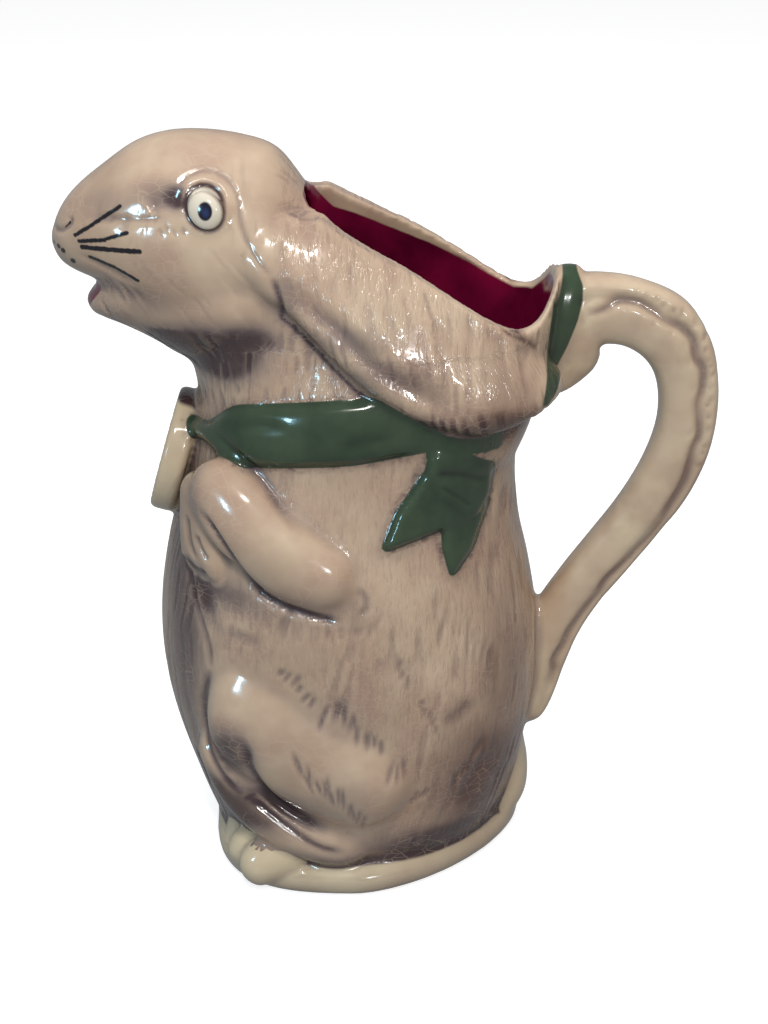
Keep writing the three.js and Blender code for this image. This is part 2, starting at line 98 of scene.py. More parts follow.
def curve_through(rows, s):
    rows = np.asarray(rows, dtype=float)
    steps = np.maximum(np.linalg.norm(np.diff(rows[:, :3], axis=0), axis=1), 1e-6)
    places = np.concatenate(([0], np.cumsum(steps)))
    places /= places[-1]
    slopes = np.empty_like(rows)
    slopes[1:-1] = (rows[2:] - rows[:-2]) / (places[2:] - places[:-2])[:, None]
    slopes[0] = (rows[1] - rows[0]) / (places[1] - places[0])
    slopes[-1] = (rows[-1] - rows[-2]) / (places[-1] - places[-2])
    i = np.clip(np.searchsorted(places, s, side="left") - 1, 0, len(rows) - 2)
    span = (places[i + 1] - places[i])[:, None]
    t = np.clip((s - places[i])[:, None] / span, 0, 1)
    return (
        rows[i] * (2 * t**3 - 3 * t**2 + 1)
        + rows[i + 1] * (3 * t**2 - 2 * t**3)
        + span * (slopes[i] * (t**3 - 2 * t**2 + t) + slopes[i + 1] * (t**3 - t**2))
    )


def oval(angle, s):
    return np.cos(angle), np.sin(angle)


def egg(taper):
    return lambda angle, s: (np.cos(angle) * (1 - taper * np.sin(angle)), np.sin(angle))


def squarish(power):
    def section(angle, s):
        c, d = np.cos(angle), np.sin(angle)
        return np.sign(c) * np.abs(c) ** (2 / power), np.sign(d) * np.abs(d) ** (2 / power)

    return section


def mesh_of(form, name, face_outward=True):
    if face_outward:
        bmesh.ops.recalc_face_normals(form, faces=form.faces)
    mesh = bpy.data.meshes.new(name)
    form.to_mesh(mesh)
    form.free()
    return mesh


def pulled(name, rows, end_share=0.2, ends=0.3, section=oval, around=64, along=48):
    form = bmesh.new()
    bmesh.ops.create_uvsphere(form, u_segments=around, v_segments=along, radius=1)
    ball = np.array([v.co for v in form.verts])
    tau = np.arccos(np.clip(ball[:, 2], -1, 1)) / math.pi
    turn = np.arctan2(ball[:, 1], ball[:, 0])
    from_end = np.minimum(tau, 1 - tau)
    bend = np.minimum(from_end / ends, 1) * math.pi / 2
    inner = (from_end - ends) / (0.5 - ends)
    rounded = end_share * (1 - np.cos(bend))
    near = np.where(from_end < ends, rounded, end_share + inner * (0.5 - end_share))
    s = np.where(tau < 0.5, near, 1 - near)
    at = curve_through(rows, s)
    first, second = section(turn, s)
    size = np.sin(bend)
    places = at[:, :3] + (size * first)[:, None] * at[:, 3:6] + (size * second)[:, None] * at[:, 6:9]
    for vertex, place in zip(form.verts, places):
        vertex.co = place
    return mesh_of(form, name)


def level_rows(table, inset=0):
    return [(x, 0, z, a - inset, 0, 0, 0, b - inset, 0) for x, z, a, b in table]


def upright_rows(table, inset=0):
    return [(x, 0, z, 0, b - inset, 0, 0, 0, h - inset) for x, z, b, h in table]


def limb_rows(table, side, lean=0):
    centres = [Vector((x, side * y, z)) for x, y, z, *_ in table]
    rows = []
    for i, (_, _, _, high, thick) in enumerate(table):
        way = (centres[min(i + 1, len(table) - 1)] - centres[max(i - 1, 0)]).normalized()
        outward = Vector((0, side * math.cos(lean), math.sin(lean)))
        across = (outward - way * outward.dot(way)).normalized()
        up = way.cross(across).normalized() * side * high
        rows.append((*centres[i], *up, *(across * thick)))
    return rows


def form_of(meshes):
    form = bmesh.new()
    for mesh in meshes:
        form.from_mesh(mesh)
    return form


def run_together(meshes, name):
    return object_of(mesh_of(form_of(meshes), name, face_outward=False), name)


def with_modifiers_applied(thing):
    evaluated = thing.evaluated_get(bpy.context.evaluated_depsgraph_get())
    mesh = bpy.data.meshes.new_from_object(evaluated)
    thing.modifiers.clear()
    thing.data = mesh
    return thing


def recast(thing, grain):
    skin = thing.modifiers.new("skin", "REMESH")
    skin.mode = "VOXEL"
    skin.voxel_size = grain
    return with_modifiers_applied(thing)


def edges_of(mesh):
    pairs = np.empty(len(mesh.edges) * 2, dtype=np.int64)
    mesh.edges.foreach_get("vertices", pairs)
    return pairs.reshape(-1, 2)


def neighbour_mean(values, pairs):
    count = len(values)
    near = np.bincount(pairs.ravel(), minlength=count)
    total = np.bincount(pairs[:, 0], values[pairs[:, 1]], count)
    total += np.bincount(pairs[:, 1], values[pairs[:, 0]], count)
    return total / np.maximum(near, 1)


def softened(co, pairs, times, share=0.5):
    for _ in range(times):
        mean = np.stack([neighbour_mean(co[:, k], pairs) for k in range(3)], axis=1)
        co = co + share * (mean - co)
    return co


def distance_to(meshes, co, reach):
    form = form_of(meshes)
    tree = BVHTree.FromBMesh(form)
    form.free()
    low = np.min([coordinates(m).min(axis=0) for m in meshes], axis=0) - reach
    high = np.max([coordinates(m).max(axis=0) for m in meshes], axis=0) + reach
    close = np.flatnonzero(np.all((co > low) & (co < high), axis=1))
    distance = np.full(len(co), float(reach))
    for i in close:
        found = tree.find_nearest(co[i], reach)
        if found[0] is not None:
            distance[i] = found[3]
    return distance


# Body, throat and collar
# A barrel-shaped belly narrows to the neck. The collar behind the head carries the ears and the
# filling opening.
BODY = [
    (-9.5, 2, 43, 39), (-9.3, 8, 46.6, 43), (-9, 16, 50.2, 47), (-9.2, 28, 54, 50.5),
    (-10, 45, 58.4, 53.5), (-10.7, 62, 61, 54.5), (-11.4, 80, 61, 54), (-12, 98, 58.6, 51.5),
    (-12, 114, 55, 48), (-10.6, 128, 52.4, 44.5), (-9, 142, 51, 42), (-8, 156, 50, 40.5),
    (-7, 166, 47, 37.5), (-6, 176, 42, 33), (-5, 184, 35, 27),
]
COLLAR = [
    (3, 132, 37, 36), (5, 141, 38.5, 39), (6.5, 148, 39.5, 39.5), (7, 158, 41.5, 39),
    (7.5, 172, 44, 37), (8, 188, 45.2, 33.2), (8, 204, 45.2, 28.6), (4, 218, 42, 25.5),
]
NECK = [
    (-17, 138, 34, 34), (-21, 155, 36, 36), (-25, 172, 35, 33), (-31, 188, 32, 30),
    (-39, 202, 28, 28),
]


def collar_section(angle, s):
    return squarish(2 + 0.9 * s)(angle, s)


body = pulled("body", level_rows(BODY), 0.03, 0.1, around=128, along=96)
collar = pulled("collar", level_rows(COLLAR), 0.08, 0.16, collar_section, 112, 64)
neck = pulled("neck", level_rows(NECK), 0.1, around=96, along=48)

# Head
# A long hare's muzzle with full cheeks. The lower jaw hangs open a little under it, because the
# mouth is the spout.
HEAD = [
    (-101, 203, 4.5, 4.5), (-97, 204.8, 10.5, 8.8), (-92, 206.4, 15, 13), (-84, 208, 19.5, 17.8),
    (-74, 207.5, 24, 25.2), (-64, 205.8, 27.5, 30), (-53, 204.5, 29.5, 31.6), (-42, 203.5, 30, 31),
    (-32, 201.5, 28.5, 29.4), (-25, 199, 26.5, 23), (-19, 196, 23, 16), (-13, 193, 18, 9),
]
JAW = [
    (-91.5, 184, 6.5, 3), (-87, 184.6, 12, 4.8), (-79, 186, 18, 8.8), (-70, 186.2, 22.5, 13.4),
    (-60, 185.5, 27, 18.8), (-50, 185.5, 30, 20.5), (-40, 186.5, 31.5, 19.5), (-32, 187, 30, 15),
]
head = pulled("head", upright_rows(HEAD), 0.06, 0.14, egg(0.12), around=112, along=96)
jaw = pulled("jaw", upright_rows(JAW), 0.08, section=egg(-0.14), around=80, along=64)

# Ears
# The ears are laid back along the collar and form the sides of the opening. Each is thin at the
# rim and thick along its hanging edge, and they meet under the handle.
EAR = [
    (-38, 23, 213, 8, 4.6), (-30, 25, 205.5, 12.5, 5.6), (-21, 26.5, 202.5, 15, 6.2),
    (-12.9, 28.8, 197.1, 15.8, 6.8), (-2.8, 31.4, 189.3, 17.3, 7.2), (9.2, 32.8, 180.8, 18.8, 7.4),
    (20.8, 32.6, 173.8, 18.6, 7.2), (31, 31.5, 170.2, 17, 7), (39.5, 27, 169.8, 14, 6.2),
    (45, 18, 169, 11.8, 5), (47.8, 7, 168, 9.6, 3.5),
]
EAR_LEAN = math.radians(20)
FOLD_DEPTH, FOLD_UP, FOLD_WIDTH, FOLD_FROM, FOLD_TO, FOLD_FADE = 2, -0.62, 0.17, 0.12, 0.7, 0.1
EAR_THICKNESS = 7.2


def ear_section(angle, s):
    up, across = squarish(2.3)(angle, s)
    middle = np.clip(np.minimum(s - FOLD_FROM, FOLD_TO - s) / FOLD_FADE, 0, 1)
    fold = (across > 0) * middle * np.exp(-(((up - FOLD_UP) / FOLD_WIDTH) ** 2))
    return up, across * (1 - 0.45 * up - FOLD_DEPTH / EAR_THICKNESS * fold)


ears = [
    pulled(f"ear{side}", limb_rows(EAR, side, EAR_LEAN), 0.08, section=ear_section, along=80)
    for side in (-1, 1)
]

# Forelegs
# The forearms lie along the flanks and the paws hang at the chest under the medallion.
FOREARM = [
    (-56, 25, 136.5, 7.5, 6.5), (-51, 31, 135.5, 10, 8), (-43.5, 37, 129.5, 12, 9),
    (-35, 41.5, 122, 12, 9), (-26, 44.5, 115.5, 11.6, 8.5), (-16, 46.5, 110.5, 10, 7.5),
    (-8, 47, 107, 7, 5.5),
]
FINGERS = 3
HAND_X, HAND_Y, HAND_TOP, HAND_TIP, HAND_OUT = -55, 25.5, 138, 105.5, 7.5
FINGER_SPREAD, FINGER_RADIUS = 4, 5


def finger(side, index):
    fan = (index - (FINGERS - 1) / 2) * FINGER_SPREAD
    table = []
    for drop, swell in ((0, 1.3), (0.5, 1.15), (1, 0.8)):
        z = HAND_TOP + (HAND_TIP - HAND_TOP) * drop
        x = HAND_X + fan * drop + 1.2 * drop
        y = HAND_Y + fan * drop + HAND_OUT * drop
        table.append((x, y, z, FINGER_RADIUS * swell, FINGER_RADIUS * swell))
    return pulled(f"finger{side}{index}", limb_rows(table, side), 0.22, around=32, along=28)


forelegs = [pulled(f"foreleg{side}", limb_rows(FOREARM, side), 0.14) for side in (-1, 1)]
fingers = [finger(side, index) for side in (-1, 1) for index in range(FINGERS)]

# Hind legs and feet
# The haunches are low swellings on the flanks. The shins run down to long feet whose toes show
# side by side at the front of the plinth.
HAUNCH = [
    (-53, 31, 66, 12, 10), (-45.5, 37, 66, 18, 12.5), (-34, 42, 60.5, 20.5, 13.5),
    (-21, 44.5, 52, 20.5, 13), (-7, 45, 43, 19, 12.5), (8, 44, 34, 13, 11),
]
SHIN = [
    (-52, 33, 56, 9, 8), (-49, 36, 46, 9, 8), (-42, 39.5, 34, 9.5, 8.5), (-31, 42.5, 24, 9, 8),
    (-17, 44, 17.5, 8, 7.5), (-3, 43.5, 15, 6, 6),
]
TOES = 4
HEEL_X, FOOT_Y, TOE_REACH, TOE_SPREAD, TOE_FAN, TOE_RADIUS = -24, 31, 27, 10.4, 0.62, 6.8


def toe(side, index):
    place = index - (TOES - 1) / 2
    reach = TOE_REACH - 1.7 * place**2 - 1.6 * place
    table = []
    for out, z, swell in ((0, 13, 1), (0.6, 10.5, 1.15), (1, 6.4, 0.9)):
        y = FOOT_Y + place * TOE_SPREAD * (TOE_FAN + (1 - TOE_FAN) * out)
        table.append((HEEL_X - reach * out, y, z, TOE_RADIUS * swell, TOE_RADIUS * swell * 0.86))
    return pulled(f"toe{side}{index}", limb_rows(table, side), 0.22, around=36, along=32)


haunches = [pulled(f"haunch{side}", limb_rows(HAUNCH, side), 0.16) for side in (-1, 1)]
shins = [pulled(f"shin{side}", limb_rows(SHIN, side), 0.14) for side in (-1, 1)]
toes = [toe(side, index) for side in (-1, 1) for index in range(TOES)]

# Plinth and tail
# An egg-shaped slab under the feet, with a soft edge and a hollow underside. The scut is turned up
# against the back of the body.
PLINTH_X, PLINTH_FRONT, PLINTH_BACK, PLINTH_HALF_WIDTH = -8, 48, 53.5, 51
PLINTH_HEIGHT = 9
PLINTH_EDGE = 3.06
RECESS = 2.2
FOOT_RING = 8
TAIL = [
    (36, 4, 12, 7), (40, 12, 13.5, 8), (41, 22, 12.5, 7.6), (40.5, 31, 9, 6.6), (39.5, 39, 5, 6),
]


def plinth_outline(inset, steps=180):
    turn = np.arange(steps) / steps * 2 * math.pi
    c, d = np.cos(turn), np.sin(turn)
    power = np.where(c < 0, 3, 1.55)
    reach = np.where(c < 0, PLINTH_FRONT, PLINTH_BACK) - inset
    x = PLINTH_X + np.sign(c) * np.abs(c) ** (2 / power) * reach
    y = np.sign(d) * np.abs(d) ** (2 / power) * (PLINTH_HALF_WIDTH - inset)
    return zip(x, y)


def drawn_out(form, face, way):
    grown = bmesh.ops.extrude_face_region(form, geom=[face])["geom"]
    moved = [v for v in grown if isinstance(v, bmesh.types.BMVert)]
    bmesh.ops.translate(form, verts=moved, vec=way)


def bevelled(form, edges, offset, segments):
    bmesh.ops.bevel(
        form, geom=edges, offset=offset, affect="EDGES", segments=segments, profile=0.5, material=-1
    )


def slab(name, inset, low, high, edge=0):
    form = bmesh.new()
    face = form.faces.new([form.verts.new((x, y, low)) for x, y in plinth_outline(inset)])
    drawn_out(form, face, (0, 0, high - low))
    if edge:
        rims = [e for e in form.edges if abs(e.verts[0].co.z - e.verts[1].co.z) < 1e-6]
        bevelled(form, rims, edge, 5)
    return mesh_of(form, name)


plinth = slab("plinth", 0, 0, PLINTH_HEIGHT, PLINTH_EDGE)
recess = slab("recess", FOOT_RING, -3, RECESS)
tail_rows = [(x, 0, z, a, 0, 0, 0, b, 0) for x, z, b, a in TAIL]
tail = pulled("tail", tail_rows, 0.12, around=48, along=40)

# Handle
# A thick strap, luted to the collar and low on the back. A ragged channel runs along its outer
# edge, like the fold of a twisted stem.
HANDLE = [
    (44, 174, 21), (51, 174.6, 20.3), (56, 176.8, 17.2), (60, 179.4, 14), (65, 181.6, 11.4),
    (75, 180.8, 10.6), (85.2, 176, 10.8), (91.6, 167.2, 10), (94.2, 157.5, 9.4), (94.6, 147, 9.2),
    (92.8, 136.5, 9.3), (88.4, 125, 9.2), (81.2, 112.7, 8.7), (72.2, 100, 8.4), (63.7, 88, 8.2),
    (56.7, 76, 8.3), (52.4, 63, 7.8), (50, 52, 7), (48.3, 45, 6), (46, 38, 4),
]
HANDLE_WIDTH = 15.5
CHANNEL = 1.5


def strap_section(angle, s):
    out, across = squarish(2.7)(angle, s)
    channel = np.exp(-(((out - 0.5) / 0.16) ** 2))
    return out, across * (1 - CHANNEL / (HANDLE_WIDTH / 2) * channel)


handle_rows = []
for i, (x, z, half) in enumerate(HANDLE):
    (x0, z0, _), (x1, z1, _) = HANDLE[max(i - 1, 0)], HANDLE[min(i + 1, len(HANDLE) - 1)]
    length = math.hypot(x1 - x0, z1 - z0)
    out_x, out_z = -(z1 - z0) / length * half, (x1 - x0) / length * half
    handle_rows.append((x, 0, z, out_x, 0, out_z, 0, HANDLE_WIDTH / 2, 0))
handle = pulled("handle", handle_rows, 0.03, 0.08, strap_section, around=72, along=160)

# The body's side at a height, for what lies on it
body_levels = [(z, 0, 0, x, a, b) for x, z, a, b in BODY]


def body_section(z):
    low, high = BODY[0][1], BODY[-1][1]
    s = np.clip((np.atleast_1d(z) - low) / (high - low), 0, 1)
    return curve_through(body_levels, s)[:, 3:]


def body_side(x, z):
    centre, a, b = body_section(z)[0]
    return b * math.sqrt(max(1 - ((x - centre) / a) ** 2, 0.05))


# Ribbon and bow
# A flat band round the neck, modelled on the casting and glazed dark green. It droops in front
# behind the medallion and is tied in a bow on the left side only.
RIBBON_Z, RIBBON_WIDTH, RIBBON_THICKNESS = 157.5, 17.2, 2.6
DROOP, DROOP_ANGLE, RISE = 11.4, 62, 8
NARROW, NARROW_TO, FULL_FROM = 0.25, 26, 48
SINK = 1.5
KNOT = [(15.5, 149.5), (25, 148), (33, 141.5), (32.6, 132), (28.6, 126.6), (18, 136), (13.6, 142.8)]
LEFT_END = [
    (14.3, 144), (25, 137), (28.6, 126.6), (19.6, 125.6), (13.6, 124.4), (6.4, 122.6), (1.2, 121.2),
    (5, 131),
]
RIGHT_END = [(18.6, 130), (28.3, 131), (32.2, 129), (27, 116.5), (21.6, 110.6), (19.4, 118.6)]
KNOT_THICKNESS, LEFT_END_THICKNESS, RIGHT_END_THICKNESS = 4.2, 3, 2.4


def ribbon_centre(turn):
    from_front = np.degrees(np.abs(math.pi - turn))
    droop = DROOP * np.exp(-((from_front / DROOP_ANGLE) ** 2))
    return RIBBON_Z - droop + RISE * np.maximum(0, from_front - 90) / 90


def spun(form, steps):
    bmesh.ops.spin(
        form,
        geom=form.verts[:] + form.edges[:],
        cent=(0, 0, 0),
        axis=(0, 0, 1),
        angle=2 * math.pi,
        steps=steps,
        use_merge=True,
    )


def ribbon_band():
    steps, section = 240, 24
    form = bmesh.new()
    ring = bmesh.ops.create_circle(form, segments=section, radius=1)["verts"]
    bmesh.ops.translate(form, verts=ring, vec=(3, 0, 0))
    upright = Matrix.Rotation(math.pi / 2, 3, "X")
    bmesh.ops.rotate(form, verts=ring, cent=(3, 0, 0), matrix=upright)
    spun(form, steps)
    for vertex in form.verts:
        x, y, z = vertex.co
        turn = math.atan2(y, x) % (2 * math.pi)
        out, up = squarish(3)(math.atan2(z, math.hypot(x, y) - 3), 0)
        widening = np.clip((abs(math.degrees(math.pi - turn)) - NARROW_TO) / (FULL_FROM - NARROW_TO), 0, 1)
        wide = NARROW + (1 - NARROW) * widening**2 * (3 - 2 * widening)
        level = float(ribbon_centre(turn) + up * RIBBON_WIDTH * wide / 2)
        centre, a, b = body_section(level)[0]
        off = RIBBON_THICKNESS * (0.5 + 0.5 * out) - SINK * (0.5 - 0.5 * out)
        vertex.co = (centre + (a + off) * math.cos(turn), (b + off) * math.sin(turn), level)
    return mesh_of(form, "ribbon")


def cloth(name, outline, thickness):
    form = bmesh.new()
    face = form.faces.new([form.verts.new((x, 0, z)) for x, z in outline])
    drawn_out(form, face, (0, -thickness - SINK, 0))
    bevelled(form, form.edges[:], thickness * 0.3, 3)
    bmesh.ops.triangulate(form, faces=form.faces[:])
    bmesh.ops.subdivide_edges(form, edges=form.edges[:], cuts=3, use_grid_fill=True)
    for vertex in form.verts:
        x, y, z = vertex.co
        vertex.co.y = y + SINK - body_side(x, z)
    return mesh_of(form, name)


ribbon = ribbon_band()
bow = [
    cloth("knot", KNOT, KNOT_THICKNESS),
    cloth("left_end", LEFT_END, LEFT_END_THICKNESS),
    cloth("right_end", RIGHT_END, RIGHT_END_THICKNESS),
]

# Tie round the handle's root
# A green band where the handle leaves the collar.
TIE_X, TIE_Z, TIE_LEAN, TIE_HALF_HEIGHT = 52.5, 176, math.radians(11), 18.5
TIE_WIDTH, TIE_THICKNESS = 9, 1.3
tie_rows = []
for step in (-1, -0.5, 0.5, 1):
    proud = TIE_THICKNESS if abs(step) < 1 else 0
    half, width = TIE_HALF_HEIGHT + proud, HANDLE_WIDTH / 2 + proud + 1.2
    lean_x, lean_z = half * math.sin(TIE_LEAN), half * math.cos(TIE_LEAN)
    tie_rows.append((TIE_X + step * TIE_WIDTH / 2, 0, TIE_Z, lean_x, 0, lean_z, 0, width, 0))
tie = pulled("tie", tie_rows, 0.04, 0.2, around=72, along=32)

# Medallion
# A plain round tablet hangs on the chest, tipped a little upwards.
MEDALLION_X, MEDALLION_Z, MEDALLION_LEAN = -66, 134.7, math.radians(16)
MEDALLION_RADIUS, MEDALLION_THICKNESS, MEDALLION_BACKING = 19.8, 6.6, 1.6


def medallion_disc():
    edge, half = 1.4, MEDALLION_THICKNESS / 2
    profile = [
        (0, -half - MEDALLION_BACKING),
        (MEDALLION_RADIUS - edge, -half - MEDALLION_BACKING),
        (MEDALLION_RADIUS, -half - MEDALLION_BACKING + edge),
        (MEDALLION_RADIUS, half - edge),
        (MEDALLION_RADIUS - edge * 0.3, half - edge * 0.3),
        (MEDALLION_RADIUS - edge, half),
        (MEDALLION_RADIUS - 3.2, half),
        (MEDALLION_RADIUS - 4, half - 0.9),
        (0, half - 0.5),
    ]
    form = bmesh.new()
    verts = [form.verts.new((r, 0, h)) for r, h in profile]
    for first, second in zip(verts, verts[1:]):
        form.edges.new((first, second))
    spun(form, 96)
    bmesh.ops.remove_doubles(form, verts=form.verts, dist=1e-4)
    face = Vector((-math.cos(MEDALLION_LEAN), 0, math.sin(MEDALLION_LEAN)))
    turned = face.to_track_quat("Z", "Y").to_matrix()
    bmesh.ops.rotate(form, verts=form.verts, cent=(0, 0, 0), matrix=turned)
    bmesh.ops.translate(form, verts=form.verts, vec=(MEDALLION_X, 0, MEDALLION_Z))
    return mesh_of(form, "medallion")


medallion = medallion_disc()

# Eyes
# A flattened ball in a socket. The lids are carved round it.
EYE = Vector((-50.5, 25.6, 218.4))
EYE_RADIUS = 6.2
EYE_TURN = math.radians(12)
EYE_TILT = math.radians(-14)


def eye_axes(side):
    along = Vector((math.cos(EYE_TURN), side * math.sin(EYE_TURN), 0))
    out = Vector((-math.sin(EYE_TURN), side * math.cos(EYE_TURN), 0))
    up = Vector((0, 0, 1))
    tipped_out = out * math.cos(EYE_TILT) - up * math.sin(EYE_TILT)
    tipped_up = up * math.cos(EYE_TILT) + out * math.sin(EYE_TILT)
    return along, tipped_out, tipped_up


def eye_place(side):
    return Vector((EYE.x, side * EYE.y, EYE.z))


def eye_ball(side):
    along, out, up = eye_axes(side)
    form = bmesh.new()
    bmesh.ops.create_uvsphere(form, u_segments=48, v_segments=32, radius=EYE_RADIUS)
    for vertex in form.verts:
        x, y, z = vertex.co
        vertex.co = eye_place(side) + along * x + out * (y * 0.6) + up * z
    return mesh_of(form, f"eyeball{side}")


eyeballs = [eye_ball(side) for side in (-1, 1)]

# Inside
# The slip left an even wall, so the hollow follows the outside from the belly up to the rim
# between the ears, and forward through the head to the lips.
WALL = 4.6
FLOOR = 9.2
OPENING = [
    (2, 138, 32, 34), (7, 150, 40.5, 38), (7, 165, 42.6, 36.5), (9, 180, 44.6, 34),
    (11, 192, 45, 31.6), (13, 205, 42.6, 27.4), (14, 225, 41.6, 24), (14, 262, 41.6, 24),
]
MOUTH = [
    (-98, 187.3), (-84, 189.5), (-68, 193),
]
MOUTH_WIDTH, MOUTH_HEIGHT = 15, 7.4
RIM = [
    (-23.5, 225.5), (-20.5, 220.4), (-16, 214.4), (-5, 207.8), (8, 201.2), (22, 192.7), (33, 185.9),
    (40.5, 182.7), (46, 183.8), (49.4, 188.4), (51.6, 192.6), (54, 195), (60, 195.6),
]


def opening_section(angle, s):
    return squarish(2 + 1.6 * np.minimum(s, 0.7))(angle, s)


floor_centre, floor_a, floor_b = body_section(FLOOR + 1)[0]
belly_table = [(floor_centre, FLOOR, floor_a * 0.97, floor_b * 0.97)]
belly_table += [row for row in BODY if row[1] > FLOOR + 3]
throat_table = [row for row in HEAD if -90 < row[0] < -16]
hollows = [
    pulled("belly", level_rows(belly_table, WALL), 0.05, 0.16, around=96, along=64),
    pulled("filling", level_rows(OPENING, WALL), 0.04, 0.16, opening_section, 112, 64),
    pulled("throat", level_rows(NECK[1:], WALL), around=64, along=32),
    pulled("muzzle", upright_rows(throat_table, WALL), 0.1, section=egg(0.12), along=48),
]
mouth_rows = [(x, 0, z, 0, MOUTH_WIDTH / 2, 0, 0, 0, MOUTH_HEIGHT / 2) for x, z in MOUTH]
spout = pulled("spout", mouth_rows, 0.05, 0.2, around=48, along=32)


CUT_TOP, CUT_HALF_WIDTH = 262, 70


def above_rim():
    smooth = curve_through([(x, 0, z) for x, z in RIM], np.linspace(0, 1, 80))
    form = bmesh.new()
    line = [form.verts.new((x, -CUT_HALF_WIDTH, z)) for x, _, z in smooth]
    line += [form.verts.new((x, -CUT_HALF_WIDTH, CUT_TOP)) for x in (RIM[-1][0], RIM[0][0])]
    drawn_out(form, form.faces.new(line), (0, 2 * CUT_HALF_WIDTH, 0))
    bmesh.ops.triangulate(form, faces=form.faces)
    return mesh_of(form, "above_rim")


# Casting
# The round masses run into each other with soft joins, and the limbs and ears lie on them with
# clearer edges. The hollow, the spout and the underside are cut out of the whole.
GRAIN = 0.8
TRUNK_GRAIN, LIMB_GRAIN, CRISP_GRAIN, CUTTER_GRAIN = 1.2, 1.0, 0.9, 1.0


def smoothed(thing, times):
    co = softened(coordinates(thing.data), edges_of(thing.data), times)
    set_coordinates(thing.data, co)
    return thing


trunk_forms = [body, collar, neck, head, jaw, plinth, tail]
trunk = smoothed(recast(run_together(trunk_forms, "trunk"), TRUNK_GRAIN), 8)
limbs = [*ears, *forelegs, *haunches, *shins]
figure = smoothed(recast(run_together([trunk.data, *limbs], "figure"), LIMB_GRAIN), 3)


def cut(thing, meshes, name):
    tool = run_together(meshes, name)
    if len(meshes) > 1:
        recast(tool, CUTTER_GRAIN)
    knife = thing.modifiers.new(name, "BOOLEAN")
    knife.operation = "DIFFERENCE"
    knife.solver = "MANIFOLD"
    knife.object = tool
    with_modifiers_applied(thing)
    bpy.data.objects.remove(tool)


cut(figure, [above_rim()], "rim_cut")
crisp = [*fingers, *toes, handle, ribbon, *bow, tie, medallion, *eyeballs]
casting = recast(run_together([figure.data, *crisp], "pitcher_casting"), CRISP_GRAIN)
cut(casting, hollows, "hollow_cut")
cut(casting, [spout], "spout_cut")
cut(casting, [recess], "recess_cut")
recast(casting, GRAIN)
for spare in (trunk, figure):
    bpy.data.objects.remove(spare)
smoothed(casting, 3)

# Carving
# Creases and hairs were cut in the model with a gouge. The lines are followed in the side view,
# and both flanks are alike.
def normals_of(mesh):
    normals = np.empty(len(mesh.vertices) * 3)
    mesh.vertices.foreach_get("normal", normals)
    return normals.reshape(-1, 3)


co = coordinates(casting.data)
normals = normals_of(casting.data)
side_x, side_y, side_z = co[:, 0], np.abs(co[:, 1]), co[:, 2]
hollow_distance = distance_to(hollows + [spout], co, 6)
outside = np.clip((hollow_distance - 1.2) / 2, 0, 1)


def ramp(low, high, value):
    t = np.clip((value - low) / (high - low), 0, 1)
    return t * t * (3 - 2 * t)


def along_line(line, spacing=1.2):
    rows = [(x, 0, z) for x, z in line]
    length = sum(math.dist(a, b) for a, b in zip(rows, rows[1:]))
    smooth = curve_through(rows, np.linspace(0, 1, max(int(length / spacing), 3)))
    return smooth[:, (0, 2)]


def near_line(points, reach):
    low, high = points.min(axis=0) - reach, points.max(axis=0) + reach
    close = (side_x > low[0]) & (side_x < high[0]) & (side_z > low[1]) & (side_z < high[1])
    picked = np.flatnonzero(close)
    x, z = side_x[picked], side_z[picked]
    best, place = np.full(len(picked), 1e3), np.zeros(len(picked))
    for i, (a, b) in enumerate(zip(points, points[1:])):
        way = b - a
        t = np.clip(((x - a[0]) * way[0] + (z - a[1]) * way[1]) / (way @ way), 0, 1)
        off = np.hypot(x - a[0] - t * way[0], z - a[1] - t * way[1])
        nearer = off < best
        best[nearer] = off[nearer]
        place[nearer] = (i + t[nearer]) / (len(points) - 1)
    return picked, best, place


carved = np.zeros(len(co))
pooled_and_shaded = np.zeros(len(co))


def stroke(line, width, reach, least_y, taper):
    points = along_line(line) if len(line) > 2 else np.array(line, dtype=float)
    picked, off, place = near_line(points, width * reach)
    ends = ramp(0, taper, np.minimum(place, 1 - place) + 0.02) if taper else 1
    shape = np.exp(-((off / width) ** 2)) * ends * ramp(least_y - 3, least_y, side_y[picked])
    return picked, shape * outside[picked]


def gouge(line, width, depth, least_y=6, taper=0.25, dark=1.0, side=0):
    picked, shape = stroke(line, width, 3.2, least_y, taper)
    if side:
        shape *= co[picked, 1] * side > 0
    carved[picked] = np.maximum(carved[picked], shape * depth)
    # painted shade in the groove, partly glaze pooled in it
    pooled_and_shaded[picked] = np.maximum(pooled_and_shaded[picked], shape * dark * min(depth / 0.8, 1))


def swell(line, width, height, least_y, taper):
    picked, shape = stroke(line, width, 3, least_y, taper)
    carved[picked] -= shape * height


def dashes(line, count, length, lean, width, depth, dark=1.0, jitter=0.35, least_y=20, seed=1):
    draw = random.Random(seed)
    points = along_line(line)
    for i in range(count):
        at = points[min(int((i + draw.random() * 0.6) / count * len(points)), len(points) - 1)]
        share = i / max(count - 1, 1)
        tip = math.radians(lean[0] + (lean[1] - lean[0]) * share + draw.uniform(-9, 9))
        long = length * draw.uniform(1 - jitter, 1 + jitter) / 2
        x, z = at[0] + draw.uniform(-0.6, 0.6), at[1] + draw.uniform(-1, 1) * length * 0.15
        step = (math.sin(tip) * long, math.cos(tip) * long)
        ends = [(x - step[0], z - step[1]), (x + step[0], z + step[1])]
        gouge(ends, width * draw.uniform(0.8, 1.2), depth, least_y, 0.45, dark)


